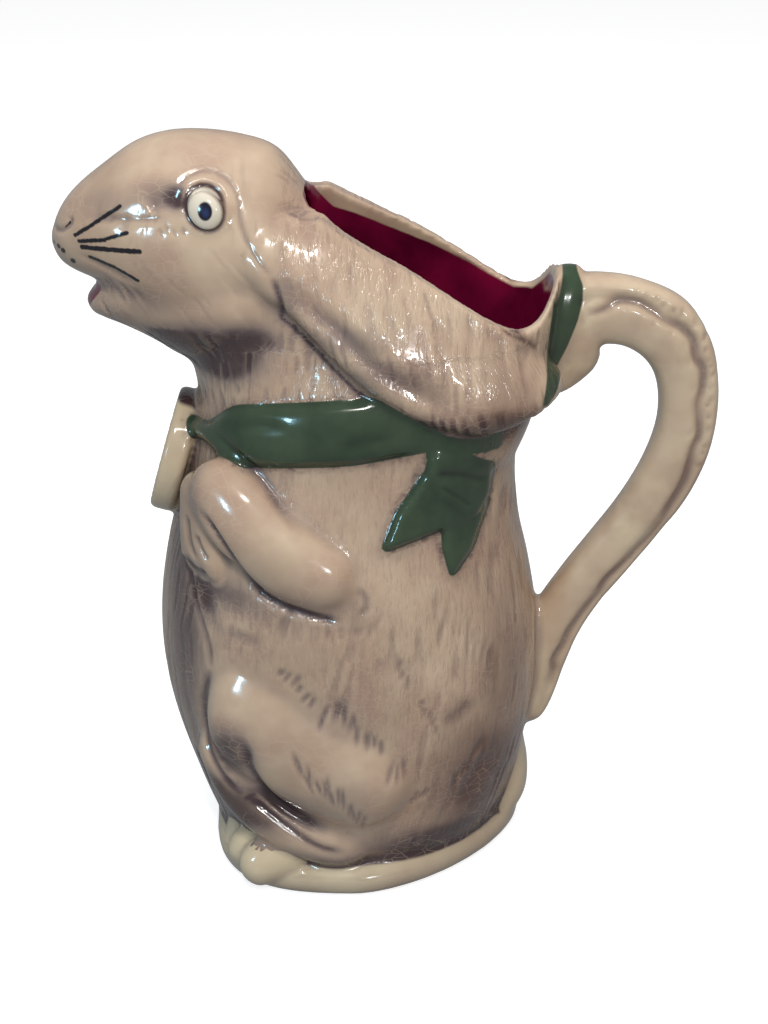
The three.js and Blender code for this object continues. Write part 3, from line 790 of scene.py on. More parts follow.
# the ear's soft valley and the crease behind the cheek
VALLEY = [(-27, 196), (-18, 190.5), (-12.6, 187.5), (-7, 181.7), (0, 175.6), (7.6, 171), (19, 165)]
gouge(VALLEY, 2.6, 0.9, 24, 0.25, 0.5)
gouge([(-31.5, 201.5), (-30.4, 198), (-29.4, 193), (-29.2, 187)], 1.1, 0.9, 14, 0.25, 0.9)

# the eye's socket, its ring, the hollow before it, the mouth and the nostrils
EYE_X, EYE_Z, EYE_LONG, EYE_SHORT = -50.9, 219.0, 5.8, 5.0
EYE_SLANT = math.radians(-44)
TURNS = [math.radians(a) for a in range(0, 361, 20)]


def round_eye(grow):
    line = []
    for t in TURNS:
        long, short = (EYE_LONG + grow) * math.cos(t), (EYE_SHORT + grow) * math.sin(t)
        x = EYE_X + long * math.cos(EYE_SLANT) - short * math.sin(EYE_SLANT)
        line.append((x, EYE_Z + long * math.sin(EYE_SLANT) + short * math.cos(EYE_SLANT)))
    return line


gouge(round_eye(0.7), 0.8, 1.0, 12, 0, 0.2)
swell(round_eye(2.2), 1.0, 0.3, 12, 0)
EYE_RING = [
    (-61, 222.6), (-57.1, 226.5), (-52, 228.4), (-47.3, 227.6), (-44.1, 225.5), (-41.7, 222),
    (-40.4, 214.4), (-37.5, 208), (-31.5, 201),
]
gouge(EYE_RING, 0.85, 0.4, 12, 0.12, 0.9)
gouge([(-56.5, 220.6), (-60, 221.4), (-64, 220.6), (-69, 218)], 2.6, 1.5, 10, 0.3, 0.45)
gouge([(-66, 219), (-72, 216), (-80, 212)], 2.6, 0.5, 10, 0.35, 0.2)
gouge([(-87, 213), (-81, 214.4), (-75, 215), (-68, 215.8), (-61.5, 217)], 1.3, 0.7, 10, 0.25, 0.4)
dashes([(-64, 212.6), (-60, 213), (-57, 213)], 4, 4, (-24, -30), 0.9, 0.35, 0.4, 0.2, 10, seed=31)
dashes([(-82, 193), (-77, 192.6), (-71, 193)], 6, 7.5, (-26, -34), 0.8, 0.45, 0.6, 0.25, 6, seed=32)
gouge([(-90.6, 203.2), (-84, 200.5), (-78, 198.4), (-71, 195)], 1.0, 0.5, 6, 0.3, 0.4)
NOSTRIL = [(-92.1, 213.1), (-92.3, 211.3), (-93.9, 209.6), (-96, 208.3), (-98.8, 207.7)]
gouge(NOSTRIL, 0.8, 0.7, 1, 0.1, 0.6)

# the creases of the forelegs, the paws and the belly
SHOULDER = [(-56, 151), (-49, 150), (-41, 145), (-35, 139.7), (-31, 134.5), (-27, 130), (-21, 125)]
gouge(SHOULDER, 1.4, 0.7, 20, 0.35, 0.8)
ARM_UNDER = [
    (-55, 131.5), (-52.3, 128.6), (-50, 125.6), (-46.9, 121), (-41.9, 113), (-36.9, 106.6),
    (-30.9, 103.6), (-23.9, 101.8), (-17, 100.4), (-11.5, 99.9),
]
gouge(ARM_UNDER, 1.3, 1.5, 20, 0.14)
gouge([(-8, 109.6), (-5, 107.4), (-4.6, 103.6), (-7.5, 100.6)], 1.2, 0.6, 20, 0.35, 0.5)
gouge([(-59.4, 126), (-58.6, 117), (-56.6, 112)], 0.8, 0.9, 12, 0.2, 0.5)
gouge([(-56.4, 121), (-55, 117), (-52.4, 113.4)], 0.8, 0.9, 12, 0.2, 0.6)
gouge([(-61.5, 112), (-58, 108), (-53, 107.6)], 1.6, 1.0, 10, 0.2, 1.0)
gouge([(-60.5, 110), (-58, 98), (-54, 86), (-53, 77)], 1.0, 0.7, 14, 0.2, 0.7)
gouge([(-57, 106), (-53.5, 96), (-50, 88)], 2.6, 0.6, 14, 0.35, 0.4)
gouge([(-48, 89.5), (-43, 91), (-36, 90)], 2.2, 0.6, 14, 0.35, 0.6)

# the knee, the shin and the toes
SHIN_FRONT = [(-53, 77), (-55.5, 69), (-56, 57), (-54, 49), (-49.5, 41.5), (-43, 36.5)]
gouge(SHIN_FRONT, 1.2, 1.0, 14, 0.15, 0.9)
gouge([(-45, 61), (-42, 57), (-40.6, 48), (-34, 35), (-26, 29), (-16, 24)], 1.9, 1.6, 20, 0.2)
gouge([(-42.9, 36.5), (-37.5, 33), (-28.8, 26), (-20, 20), (-10, 17)], 1.5, 1.0, 20, 0.2, 0.9)
dashes([(-51, 47), (-45, 39), (-38, 33.6)], 7, 6, (68, 60), 0.9, 0.4, 0.5, 0.3, seed=11)

# tufts along the thigh's upper edge, and a long row of hairs under it
dashes([(-31, 82), (-24.5, 77.5), (-21, 71.5)], 6, 6.5, (38, 30), 1.0, 0.6, 0.6, 0.3, seed=2)
dashes([(-18, 67), (-13, 70), (-9.5, 67), (-6.5, 62)], 8, 10.5, (16, 2), 0.9, 0.7, 0.65, 0.3, seed=3)
dashes([(-4, 61.5), (-2, 58), (0, 57)], 4, 8.5, (6, 2), 0.9, 0.7, 0.65, 0.3, seed=4)
dashes([(3.2, 50), (7, 48.5)], 4, 9.5, (6, 0), 1.0, 0.65, 0.6, 0.3, seed=6)
dashes([(9.5, 36.5), (12.6, 38), (14.5, 38.5)], 4, 6, (14, 20), 0.9, 0.5, 0.6, 0.3, seed=8)
THIGH_ROW = [(-26, 52), (-22.8, 48.6), (-19.5, 46), (-15.5, 42.6), (-11.5, 39.6), (-8.6, 34.5), (-5, 31)]
dashes(THIGH_ROW, 14, 11.5, (-20, 4), 0.8, 0.7, 0.65, 0.2, seed=5)
dashes([(12, 72), (15, 66), (17, 62)], 7, 6, (18, 6), 0.9, 0.5, 0.5, 0.3, seed=9)
dashes([(6, 84), (8, 79)], 3, 6, (14, 8), 0.9, 0.5, 0.5, 0.3, seed=10)
dashes([(24, 40), (27, 45), (32, 50)], 5, 9, (8, 28), 1.1, 0.5, 0.5, 0.3, seed=12)
dashes([(-45, 98), (-30, 96), (-14, 96), (0, 98)], 20, 8, (-6, 10), 1.0, 0.35, 0.3, 0.5, seed=13)
dashes([(16, 100), (26, 90), (34, 80)], 10, 12, (12, 4), 1.1, 0.4, 0.3, 0.4, seed=15)
gouge([(30, 68), (24, 64.5), (18.5, 61.5)], 3.0, 1.0, 14, 0.35, 0.5)
gouge([(24, 26), (28, 36), (35, 46)], 3.4, 0.9, 10, 0.35, 0.5)

# the folds of the bow and the ribbon
gouge([(15.5, 143.6), (23.8, 141.4), (32.4, 136.6)], 1.5, 0.8, 20, 0.2, 0.2, -1)
gouge([(17, 139.5), (22, 135.5), (27.5, 130)], 1.0, 0.5, 20, 0.2, 0.2, -1)
gouge([(-48, 153), (-38, 156.5), (-26, 157)], 2.0, 0.7, 20, 0.4, 0.1)
gouge([(-16, 152), (-4, 154.5), (8, 156)], 2.2, 0.6, 20, 0.4, 0.1)

# the handle's folded edge, and the wrinkles on both sides of it
FOLD_LINE = [
    (61.7, 181.6), (67.1, 184), (72.5, 186), (79.2, 184.8), (84.1, 181.4), (90.4, 178.4),
    (94.4, 173), (96.4, 166.9), (97.4, 162.8), (97.8, 152.4), (97.2, 139.7), (95.6, 129.7),
    (90, 116.7), (81.4, 103.4), (72, 92.1), (62.6, 76.9), (57.6, 68), (54.7, 53.5),
]
ragged = random.Random(21)
wavy = [(x + ragged.uniform(-0.8, 0.8), z + ragged.uniform(-0.8, 0.8)) for x, z in along_line(FOLD_LINE, 5)]
gouge(wavy, 1.7, 1.2, 1.5, 0.06, 0.42)
outer = [(x + 2.6, z + 1.6) for x, z in FOLD_LINE[:12]]
dashes(outer, 26, 4.2, (-30, 95), 1.1, 0.45, 0.35, 0.4, 1.5, seed=23)
inner = [(x - 2.2, z - 1.8) for x, z in FOLD_LINE]
dashes(inner, 24, 4.5, (-20, 110), 1.2, 0.3, 0.25, 0.5, 1.5, seed=25)


# Fur
# Long hairs are combed down the flanks, short ones over the cheeks, and the ears are combed across.
NOISE_TABLE = np.random.RandomState(11).rand(4096)


def lattice_noise(a, b, c):
    total = 0
    cells = [np.floor(v).astype(np.int64) for v in (a, b, c)]
    parts = [v - cell for v, cell in zip((a, b, c), cells)]
    eased = [f * f * (3 - 2 * f) for f in parts]
    for corner in range(8):
        step = [(corner >> k) & 1 for k in range(3)]
        key = (cells[0] + step[0]) * 73856093 ^ (cells[1] + step[1]) * 19349663
        key ^= (cells[2] + step[2]) * 83492791
        weight = 1
        for ease, up in zip(eased, step):
            weight = weight * (ease if up else 1 - ease)
        total = total + weight * NOISE_TABLE[key & 4095]
    return total


def combed(across, along, lean, wide, long, seed):
    tip = math.radians(lean)
    sideways = across * math.cos(tip) - along * math.sin(tip)
    lengthways = along * math.cos(tip) + across * math.sin(tip)
    wander = lattice_noise(sideways / 9, lengthways / 14, np.full(len(across), seed + 0.5)) * 3
    return lattice_noise((sideways + wander) / wide, lengthways / long, np.full(len(across), seed * 7.0))


FLANK_CENTRE, FLANK_RADIUS = -11, 50


def round_flank(x, y):
    return FLANK_RADIUS * (math.pi / 2 - np.arctan2(y, x - FLANK_CENTRE))


def patch(x, z, reach_x, reach_z, edge=0.35):
    off = np.hypot((side_x - x) / reach_x, (side_z - z) / reach_z)
    return 1 - ramp(1 - edge, 1 + edge, off)


limb_distance = distance_to(forelegs + haunches + shins + fingers, co, 4)
clothed_distance = distance_to([ribbon, *bow, tie, medallion, handle, plinth, *toes, tail], co, 4)
ear_distance = distance_to(ears, co, 4)
face = ramp(-26, -34, side_x) * ramp(178, 186, side_z)
on_body = outside * ramp(0.6, 3, limb_distance) * ramp(0.6, 2.2, clothed_distance)
on_ear = outside * ramp(1.6, 0.4, ear_distance) * (1 - face) * ramp(0.6, 2, clothed_distance)
on_trunk = on_body * (1 - on_ear) * (1 - face)
turned = round_flank(side_x, side_y)

fur = np.zeros(len(co))


def comb(where, across, along, lean, wide, long, depth, seed, sparse=0.52):
    hairs = ramp(sparse, sparse + 0.28, combed(across, along, lean, wide, long, seed))
    np.maximum(fur, hairs * where * depth, out=fur)


clusters = lattice_noise(turned / 11, side_z / 13, np.full(len(co), 3.5))
clustered = 0.15 + 0.85 * ramp(0.42, 0.62, clusters)
comb(on_ear * (0.4 + 0.6 * ramp(0.35, 0.6, clusters)), side_x, side_z, -9, 1.5, 9, 0.34, 1, 0.48)
comb(on_trunk * ramp(150, 160, side_z), turned, side_z, 0, 1.6, 5, 0.34, 2, 0.5)
flank = on_trunk * ramp(152, 140, side_z)
comb(flank * ramp(-40, -52, turned), turned, side_z, 0, 1.3, 16, 0.3, 3, 0.48)
middle = ramp(-50, -40, turned) * ramp(12, 0, turned)
comb(flank * clustered * middle, turned, side_z, 10, 1.9, 9, 0.3, 4, 0.5)
comb(flank * clustered * ramp(0, 12, turned), turned, side_z, 8, 2.0, 12, 0.34, 5, 0.5)
comb(outside * face * patch(-72, 214, 16, 7), side_x, side_z, 18, 1.2, 5, 0.14, 6, 0.54)
comb(outside * face * patch(-82, 189, 12, 6), side_x, side_z, -32, 1.4, 10, 0.4, 7, 0.5)
comb(outside * face * patch(-52, 195, 26, 13), side_x, side_z, -40, 1.3, 9, 0.13, 8, 0.52)
comb(outside * face * patch(-36, 218, 10, 14), side_x, side_z, -6, 1.5, 9, 0.18, 9, 0.52)

displaced = co - normals * (carved + fur)[:, None]
set_coordinates(casting.data, displaced)
# painted shade in the carved grooves and the fur lines, partly glaze pooled there
pool_and_shade = np.clip(pooled_and_shaded + fur / 0.4 * 0.3, 0, 1.3)

pairs = edges_of(casting.data)
near = softened(displaced, pairs, 6)
far = softened(near, pairs, 60)
fresh = normals_of(casting.data)
# how deep each point lies in a fine and in a broad hollow, for the painted shade there
fine_hollow = np.einsum("ij,ij->i", near - displaced, fresh)
broad_hollow = np.einsum("ij,ij->i", far - near, fresh)


def keep(name, values):
    layer = casting.data.attributes.new(name, "FLOAT", "POINT")
    layer.data.foreach_set("value", values.astype(np.float32))


keep("pool_and_shade", pool_and_shade)
keep("fine_hollow", fine_hollow)
keep("broad_hollow", broad_hollow)
keep("fur_area", on_trunk + on_ear)

# painted shade, partly pooled glaze, under the jaw, the ear and the arms and by the knee and the plinth:
# centre, reach and depth of tone
SHADE_PATCHES = [
    (-52, 176.5, 17, 8.5, 1.0), (-40, 181, 12, 5, 0.9), (35, 156, 14, 8, 1.0),
    (33, 36, 15, 24, 0.75), (22, 14, 30, 9, 1.0), (38, 70, 8, 22, 0.5), (-36, 103, 26, 5, 0.4),
    (-56, 102, 6, 9, 0.5), (-46, 53, 8, 9, 0.5), (-34, 32, 15, 8, 0.75),
    (-59.5, 221.6, 5, 3.6, 1.0), (-65, 221.5, 8, 4, 0.5), (-77, 218, 13, 4, 0.3),
    (-72, 190, 14, 5, 0.3), (-84, 184, 10, 5, 0.4), (-62, 100, 7, 60, 0.4), (-52, 28, 12, 12, 0.8),
    (-10, 184, 11, 4, 0.5), (2, 174, 14, 4.5, 0.5), (-28, 194, 4, 7, 0.5), (12, 158, 16, 4, 0.8),
    (-12, 39, 10, 7, 0.35), (-14, 68, 12, 8, 0.25), (38, 168, 8, 9, 0.4),
]
paw_distance = distance_to(fingers, co, 3)
# painted shade low on the body by the plinth, in the patches above and under the ear's hanging edge, less
# on the paw
shade = 0.9 * ramp(22, 11, side_z) * ramp(60, 50, side_x)
for at_x, at_z, reach_x, reach_z, tone in SHADE_PATCHES:
    shade = np.maximum(shade, tone * patch(at_x, at_z, reach_x, reach_z, 0.7))
under_ear = ramp(1.0, 1.8, ear_distance) * ramp(4, 2, ear_distance)
under_ear *= ramp(-32, -29, side_x)
shade = np.maximum(shade, 0.9 * under_ear * ramp(200, 190, side_z) * ramp(20, 26, side_y))
shade *= ramp(6, 14, side_y) * (side_x < 46) + ramp(-30, -50, side_x) * (side_z < 182)
shade *= 0.3 + 0.7 * ramp(0.5, 2, paw_distance)
keep("shade", np.clip(shade, 0, 1))

# the ribbon's far end, which runs in under the ear
ribbon_end = ramp(12, 14, side_x) * ramp(37, 35, side_x) * ramp(146, 148, side_z)
ribbon_end *= ramp(1.0, 1.6, ear_distance) * ramp(163, 161, side_z)
keep("ribbon_end", ribbon_end * (co[:, 1] < -20))

TRIANGLES = 196000
casting.modifiers.new("trim", "TRIANGULATE")
faces = len(casting.data.polygons) * 2
if faces > TRIANGLES:
    thin = casting.modifiers.new("thin", "DECIMATE")
    thin.ratio = TRIANGLES / faces
with_modifiers_applied(casting)
co = coordinates(casting.data)

# Glaze
# The zones were painted by hand: green on the cloth, maroon inside, and a thin cream glaze on the
# handle, the base and the medallion. The tan glaze carries painted shade in its creases and hollows
# and under the jaw, the ear and the arms, partly where it pooled.
reach = 4.0
HEAD_FROM, PALE_TOP, TOE_TOP, LINING_FOOT = 178, 160, 17, 4
LIP_BACK, LIP_TOP, LIP_DEPTH = -83, 195, 2.6
TIE_FOOT, TIE_DEPTH = 161, 2.4
x, y, z = co.T
lining_distance = distance_to(hollows + [spout], co, reach)
keep("green_distance", distance_to([ribbon, *bow], co, reach))
keep("pale_distance", distance_to([plinth, tail, medallion], co, reach) + (z > PALE_TOP) * reach)
keep("strap_distance", distance_to([handle], co, reach))
keep("toe_distance", distance_to(toes, co, reach) + (z > TOE_TOP) * reach)
keep("lining_distance", lining_distance + (z < LINING_FOOT) * reach)
LINE_DEPTH = [(-22, 6), (0, 4.5), (30, 1.6), (42, 0.8)]
keep("below_line", np.interp(x, *zip(*RIM)) - z - np.interp(x, *zip(*LINE_DEPTH)))
lips = np.maximum(x - LIP_BACK, z - LIP_TOP)
keep("lips", np.maximum(lips, lining_distance - LIP_DEPTH))
TIE_FRONT = [(160, 47), (169, 48.6), (175.5, 49.4), (184.7, 50.2), (192, 50.8), (197, 51.2)]
TIE_BACK = [
    (160, 48), (164, 52), (172.8, 56), (180.3, 58.8), (186.3, 60.1), (190.6, 60.1), (194.4, 58.5),
    (197, 58),
]
front, back = np.interp(z, *zip(*TIE_FRONT)), np.interp(z, *zip(*TIE_BACK))
tied = np.minimum(np.minimum(x - front, back - x), z - TIE_FOOT)
keep("tied", np.minimum(tied, lining_distance - TIE_DEPTH))
comb_line = casting.data.attributes.new("comb_line", "FLOAT_VECTOR", "POINT")
sideways = np.where(z > HEAD_FROM, x, round_flank(x, np.abs(y)))
comb_rows = np.stack([sideways, z, np.abs(y)], axis=1)
comb_line.data.foreach_set("vector", comb_rows.astype(np.float32).ravel())


def feed(tree, slot, value):
    if isinstance(value, Socket):
        tree.links.new(value.socket, slot)
    else:
        slot.default_value = value


class Socket:
    def __init__(self, tree, socket):
        self.tree = tree
        self.socket = socket

    def maths(self, operation, *others):
        node = self.tree.nodes.new("ShaderNodeMath")
        node.operation = operation
        for slot, value in zip(node.inputs, (self, *others)):
            feed(self.tree, slot, value)
        return Socket(self.tree, node.outputs[0])

    def __add__(self, other):
        return self.maths("ADD", other)

    __radd__ = __add__

    def __sub__(self, other):
        return self.maths("SUBTRACT", other)

    def __rsub__(self, other):
        return (self * -1).maths("ADD", other)

    def __mul__(self, other):
        return self.maths("MULTIPLY", other)

    __rmul__ = __mul__

    def __truediv__(self, other):
        return self.maths("DIVIDE", other)

    def clamp(self):
        return self.maths("MAXIMUM", 0).maths("MINIMUM", 1)

    def over(self, low, high):
        return ((self - low) / (high - low)).clamp()


class Glaze:
    def __init__(self, name):
        self.material = bpy.data.materials.new(name)
        self.material.use_nodes = True
        self.tree = self.material.node_tree
        self.shader = self.tree.nodes["Principled BSDF"]

    def node(self, kind, settings=None, output=0, **sockets):
        node = self.tree.nodes.new(kind)
        for name, value in (settings or {}).items():
            setattr(node, name, value)
        for name, value in sockets.items():
            key = int(name[1:]) if name[1:].isdigit() else name.replace("_", " ")
            feed(self.tree, node.inputs[key], value)
        return Socket(self.tree, node.outputs[output])

    def attribute(self, name, output="Fac"):
        return self.node("ShaderNodeAttribute", {"attribute_name": name}, output)

    def mix(self, factor, first, second):
        settings = {"data_type": "RGBA", "clamp_factor": True}
        return self.node("ShaderNodeMix", settings, 2, Factor=factor, i6=first, i7=second)

    def layered(self, ground, *layers):
        for share, tint in layers:
            ground = self.mix(share, ground, tint)
        return ground

    def noise(self, vector, scale, detail=2.0, rough=0.5):
        return self.node(
            "ShaderNodeTexNoise", None, 0, Vector=vector, Scale=scale, Detail=detail, Roughness=rough
        )

    def scaled(self, vector, factors):
        return self.node("ShaderNodeVectorMath", {"operation": "MULTIPLY"}, 0, i0=vector, i1=factors)

    def split(self, vector, axis):
        return self.node("ShaderNodeSeparateXYZ", None, axis, Vector=vector)

    def to(self, name, value):
        feed(self.tree, self.shader.inputs[name], value)


CREAM = (0.47, 0.355, 0.255, 1)
TAN = (0.34, 0.24, 0.17, 1)
PINK_TAN = (0.3, 0.18, 0.135, 1)
PURPLE_GREY = (0.12, 0.088, 0.09, 1)
RED_BROWN = (0.085, 0.034, 0.026, 1)
DEEP_BROWN = (0.035, 0.018, 0.02, 1)
PALE = (0.54, 0.45, 0.31, 1)
GREEN = (0.018, 0.034, 0.018, 1)
LIGHT_GREEN = (0.042, 0.066, 0.036, 1)
BLACK_GREEN = (0.006, 0.008, 0.006, 1)
MAROON = (0.17, 0.004, 0.032, 1)
DEEP_MAROON = (0.06, 0.001, 0.014, 1)
BLACK = (0.004, 0.004, 0.007, 1)
EYE_WHITE = (0.55, 0.49, 0.40, 1)
PUPIL_BLUE = (0.003, 0.005, 0.016, 1)
PUPIL_GLINT_BLUE = (0.02, 0.035, 0.12, 1)

glaze = Glaze("majolica_glaze")
place = glaze.node("ShaderNodeTexCoord", None, "Object")
combing = glaze.attribute("comb_line", "Vector")
pool_and_shade_in = glaze.attribute("pool_and_shade")
fine = glaze.attribute("fine_hollow")
broad = glaze.attribute("broad_hollow")
fur_area = glaze.attribute("fur_area")

shaded = glaze.attribute("shade")
cloudy = glaze.noise(place, 22, 4, 0.6)
patchy = glaze.noise(place, 55, 3, 0.55)
hairs = glaze.noise(glaze.scaled(combing, (1.0, 0.2, 0.3)), 1.0, 2, 0.6)
light_hairs = glaze.noise(glaze.scaled(combing, (1.4, 0.22, 0.4)), 1.0, 2, 0.6).over(0.56, 0.76) * fur_area
strap_colour = glaze.mix(cloudy.over(0.35, 0.65), CREAM, glaze.mix(patchy.over(0.4, 0.65), TAN, PALE))
# painted shade: hollow from the creases and hollows, tone from the shade patches
hollow = (broad * 0.3).clamp() + (fine * 2.2).clamp() * 0.6
tone = (shaded * (cloudy * 0.6 + 0.68)).clamp()
warm = glaze.split(place, 0).over(-0.01, 0.03)
dark = glaze.mix(warm, PURPLE_GREY, RED_BROWN)
colour = glaze.layered(
    glaze.mix(cloudy.over(0.36, 0.62), CREAM, TAN),
    (patchy.over(0.42, 0.7) * 0.6, PINK_TAN),
    (light_hairs * 0.35, CREAM),
    (hairs.over(0.54, 0.78) * fur_area * 0.25, PURPLE_GREY),
    (glaze.attribute("strap_distance").over(2.0, 0.4), strap_colour),
    # painted shade in the next six layers: hollows, grooves and shade patches, partly where the glaze
    # pooled
    ((hollow * 1.2).clamp(), PURPLE_GREY),
    ((pool_and_shade_in * 0.8).clamp(), glaze.mix(warm * 0.5, PURPLE_GREY, RED_BROWN)),
    ((tone * 1.25).clamp() * 0.9, dark),
    ((tone - 0.55).clamp() * 1.7, DEEP_BROWN),
    ((pool_and_shade_in - 0.55).clamp() * 1.5, DEEP_BROWN),
    ((hollow + tone - 0.75).clamp() * 1.2, DEEP_BROWN),
    ((fine * -3.0).clamp() * 0.5, CREAM),
)

# thin cream glaze on the base, the toes and the tablet, with painted shade in their creases and low on
# the plinth, and a painted shadow of the head over the tablet's top
across = glaze.split(place, 0) * 1000 - CENTRE_X
sideways = glaze.split(place, 1).maths("ABSOLUTE") * 1000
upward = glaze.split(place, 2) * 1000
# painted shadow of the head and jaw over the tablet's top
tablet_top_shadow = (upward - across * -0.3 - 133.4).over(0, 0.8) * across.over(-48, -50)
pale_glaze = glaze.layered(
    PALE,
    (cloudy.over(0.35, 0.7) * 0.6, TAN),
    ((fine * 2.6).clamp() * 0.8, PURPLE_GREY),
    ((pool_and_shade_in * 0.9).clamp(), RED_BROWN),
    # painted shade, darker towards the foot of the plinth
    (upward.over(10, 2) * (0.3 + cloudy * 0.4), PURPLE_GREY),
    (tablet_top_shadow, DEEP_BROWN),
)
pale = glaze.attribute("pale_distance").over(1.2, 0.5)
pale = pale.maths("MAXIMUM", glaze.attribute("toe_distance").over(1.1, 0.5))
colour = glaze.mix(pale, colour, pale_glaze)

# green cloth, darkened in its folds with painted shade and lighter on its worn edges, with a speckled
# dark brown band on the glaze along it
green = glaze.layered(
    GREEN,
    (patchy.over(0.35, 0.75), LIGHT_GREEN),
    ((fine * 3).clamp(), BLACK_GREEN),
    ((fine * -2.5).clamp() * 0.6, LIGHT_GREEN),
)
green_distance = glaze.attribute("green_distance")
speckled = glaze.noise(place, 420, 2).over(0.5, 0.66)
short_of_tie = across.over(44, 42)
near_green = green_distance.over(3.6, 1.0) * short_of_tie
colour = glaze.mix(near_green * (0.25 + speckled * 0.6), colour, DEEP_BROWN)
band = glaze.attribute("tied").over(-0.2, 0.3)
green_mask = (green_distance.over(1.5, 1.1) * short_of_tie).maths("MAXIMUM", band)
green_mask = green_mask.maths("MAXIMUM", glaze.attribute("ribbon_end").over(0.4, 0.6))
colour = glaze.mix(green_mask, colour, green)

# maroon inside, up to a line below the rim
maroon = glaze.mix(patchy.over(0.3, 0.75), DEEP_MAROON, MAROON)
runs = (glaze.noise(place, 90, 2) - 0.5) * 1.6
lining = glaze.attribute("lining_distance").over(1.5, 0.9)
lining *= (glaze.attribute("below_line") + runs).over(-0.3, 0.4)
lining = lining.maths("MAXIMUM", glaze.attribute("lips").over(0.3, -0.3))
colour = glaze.mix(lining, colour, maroon)

# fine cracks in the glaze
crazed = glaze.node(
    "ShaderNodeTexVoronoi",
    {"feature": "DISTANCE_TO_EDGE"},
    "Distance",
    Vector=glaze.scaled(place, (0.7, 0.7, 1.4)),
    Scale=280,
    Randomness=1.0,
)
cracks = crazed.over(0.05, 0.015) * patchy.over(0.46, 0.58) * (1 - green_mask) * (1 - lining)
colour = glaze.mix(cracks * 0.25, colour, CREAM)

# The face is finished with a fine brush. Lines are in the side view and alike on both sides.
wobble = (glaze.noise(place, 900, 1) - 0.5) * 0.5


def brush_line(ends, width):
    (x0, z0), (x1, z1) = ends
    long = math.hypot(x1 - x0, z1 - z0)
    way_x, way_z = (x1 - x0) / long, (z1 - z0) / long
    along = ((across - x0) * way_x + (upward - z0) * way_z).maths("MAXIMUM", 0).maths("MINIMUM", long)
    off_x = across - x0 - along * way_x
    off_z = upward - z0 - along * way_z
    off = (off_x * off_x + off_z * off_z).maths("SQRT") + wobble
    return off.over(width / 2 + 0.18, width / 2 - 0.18)


def oval_spot(x0, z0, wide, high, soft=0.1, slant=0):
    off_x, off_z = across - x0, upward - z0
    along = off_x * math.cos(slant) + off_z * math.sin(slant)
    beside = off_z * math.cos(slant) - off_x * math.sin(slant)
    off = ((along / wide) * (along / wide) + (beside / high) * (beside / high)).maths("SQRT")
    return off.over(1 + soft, 1 - soft)


WHISKERS = [
    ([(-90.6, 208.3), (-76.2, 218.2)], 1.1),
    ([(-89.4, 206.8), (-81, 208.4)], 1.2),
    ([(-81, 208.6), (-74.1, 211.3)], 1.1),
    ([(-88.5, 205.2), (-70.5, 206.3)], 1.5),
    ([(-86.2, 202.4), (-78.6, 200.4)], 1.2),
    ([(-78.6, 200.4), (-71.5, 197.2)], 1.1),
]
DOTS = [(-98.6, 203.6, 0.55), (-96.7, 203.4, 0.75), (-95.1, 202.6, 0.85), (-92.1, 199.8, 0.9)]
white_of_eye = oval_spot(EYE_X, EYE_Z, EYE_LONG - 0.3, EYE_SHORT - 0.3, 0.05, EYE_SLANT)
# dark rim round the eye, offset so it is thicker at the upper left with painted shadow of the brow
eye_rim_and_brow_shadow = oval_spot(EYE_X - 0.25, EYE_Z + 0.3, EYE_LONG + 0.7, EYE_SHORT + 0.8, 0.07, EYE_SLANT)
eye_corner = oval_spot(-57, 219.9, 2.6, 0.9, 0.4, 0.1)
pupil = oval_spot(-50.6, 219.3, 2.1, 2.6, 0.1)
# painted reflection: a small blue glint in the pupil
pupil_glint = oval_spot(-50.4, 218.9, 0.9, 1.2, 0.5)
on_flank = sideways.over(12, 14)
paint = brush_line([NOSTRIL[1], NOSTRIL[2]], 0.5)
for ends, width in WHISKERS:
    paint = paint.maths("MAXIMUM", brush_line(ends, width))
for at_x, at_z, size in DOTS:
    paint = paint.maths("MAXIMUM", oval_spot(at_x, at_z, size, size, 0.25))
colour = glaze.layered(
    colour,
    (eye_rim_and_brow_shadow.maths("MAXIMUM", eye_corner * 0.8) * on_flank * 0.9, DEEP_BROWN),
    (white_of_eye * on_flank, EYE_WHITE),
    (pupil * on_flank, PUPIL_BLUE),
    (pupil_glint * on_flank * 0.6, PUPIL_GLINT_BLUE),
    (paint * sideways.over(3.5, 4.5), BLACK),
)

glaze.to("Base Color", colour)
glaze.to("Roughness", 0.13 + patchy * 0.1)
for name, value in {"IOR": 1.5, "Coat Weight": 0.35, "Coat Roughness": 0.06}.items():
    glaze.to(name, value)
height = hairs.over(0.45, 0.75) * fur_area * -0.35 + patchy * 0.25 + glaze.noise(place, 240, 2) * 0.08
bump = glaze.node("ShaderNodeBump", None, "Normal", Strength=0.5, Distance=0.001, Height=height)
glaze.to("Normal", bump)

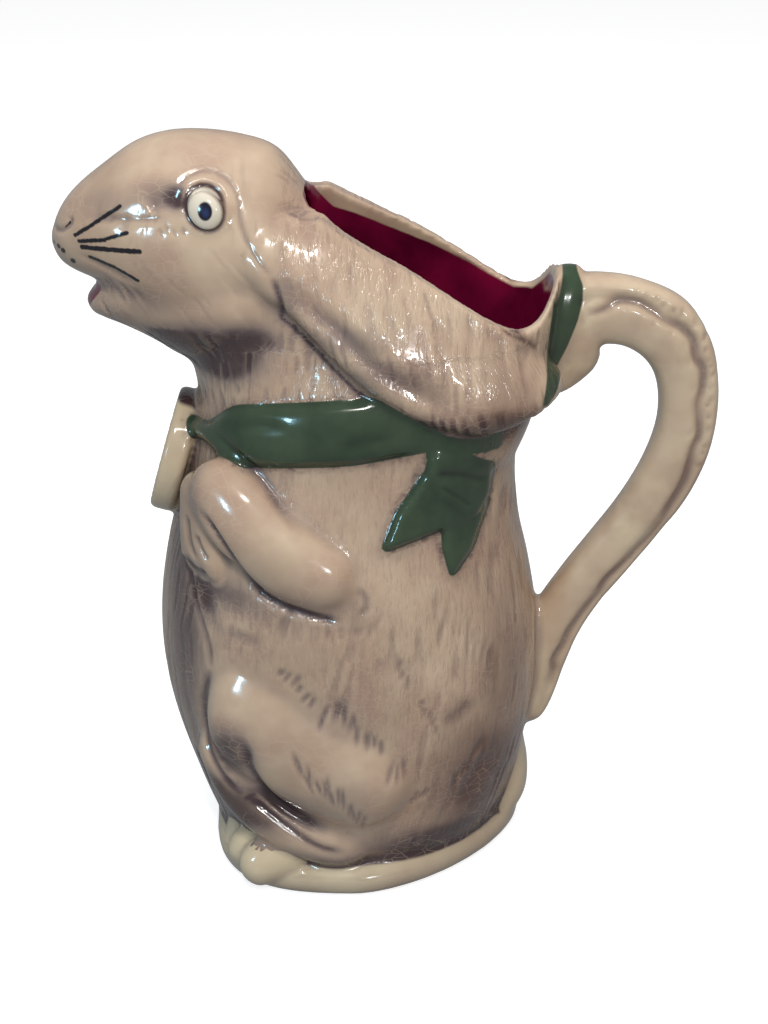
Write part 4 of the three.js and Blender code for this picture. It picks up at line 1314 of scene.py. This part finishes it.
co[:, 0] += CENTRE_X
set_coordinates(casting.data, co * METRE)
casting.data.materials.clear()
casting.data.materials.append(glaze.material)
casting.data.shade_smooth()
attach(casting, "root")
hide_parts("pitcher")

# Studio
# A wide white floor, small bright lights that the glaze mirrors and large soft ones that it doesn't.
floor_form = bmesh.new()
bmesh.ops.create_grid(floor_form, x_segments=1, y_segments=1, size=6)
studio_floor = object_of(mesh_of(floor_form, "floor", face_outward=False), "studio_floor")
paper = bpy.data.materials.new("paper")
paper.use_nodes = True
paper_look = paper.node_tree.nodes["Principled BSDF"].inputs
paper_look["Base Color"].default_value = (0.5, 0.5, 0.5, 1)
paper_look["Emission Color"].default_value = (1, 1, 1, 1)
paper_look["Emission Strength"].default_value = 0.72
paper_look["Roughness"].default_value = 0.9
studio_floor.data.materials.append(paper)
studio_floor.visible_diffuse = False
studio_floor.visible_glossy = False


def soft_light(name, place, size, power, colour, mirrored=True):
    data = bpy.data.lights.new(name, "AREA")
    data.shape = "RECTANGLE"
    data.size, data.size_y = size
    data.energy = power
    data.color = colour
    lamp = object_of(data, name)
    lamp.location = place
    lamp.rotation_euler = (AIM - Vector(place)).to_track_quat("-Z", "Y").to_euler()
    lamp.visible_glossy = mirrored


soft_light("window", (-0.8, -0.8, 0.55), (0.12, 0.18), 3.5, (0.42, 0.78, 1.0))
soft_light("lamp", (-0.1, -0.75, 1.25), (0.07, 0.07), 4.5, (1.0, 0.96, 0.9))
soft_light("spark", (0.45, -1.0, 0.6), (0.05, 0.05), 2.2, (1.0, 1.0, 1.0))
soft_light("front", (0.1, -1.1, 1.0), (0.6, 0.6), 9, (1.0, 0.95, 0.88), False)
soft_light("top", (0.0, 0.1, 1.4), (0.9, 0.9), 12, (1.0, 1.0, 1.0), False)
world = bpy.data.worlds.new("studio")
bpy.context.scene.world = world
world.use_nodes = True
sky = world.node_tree.nodes["Background"].inputs
sky["Color"].default_value = (0.95, 0.97, 1, 1)
sky["Strength"].default_value = 0.3
bpy.context.scene.view_settings.view_transform = "Standard"
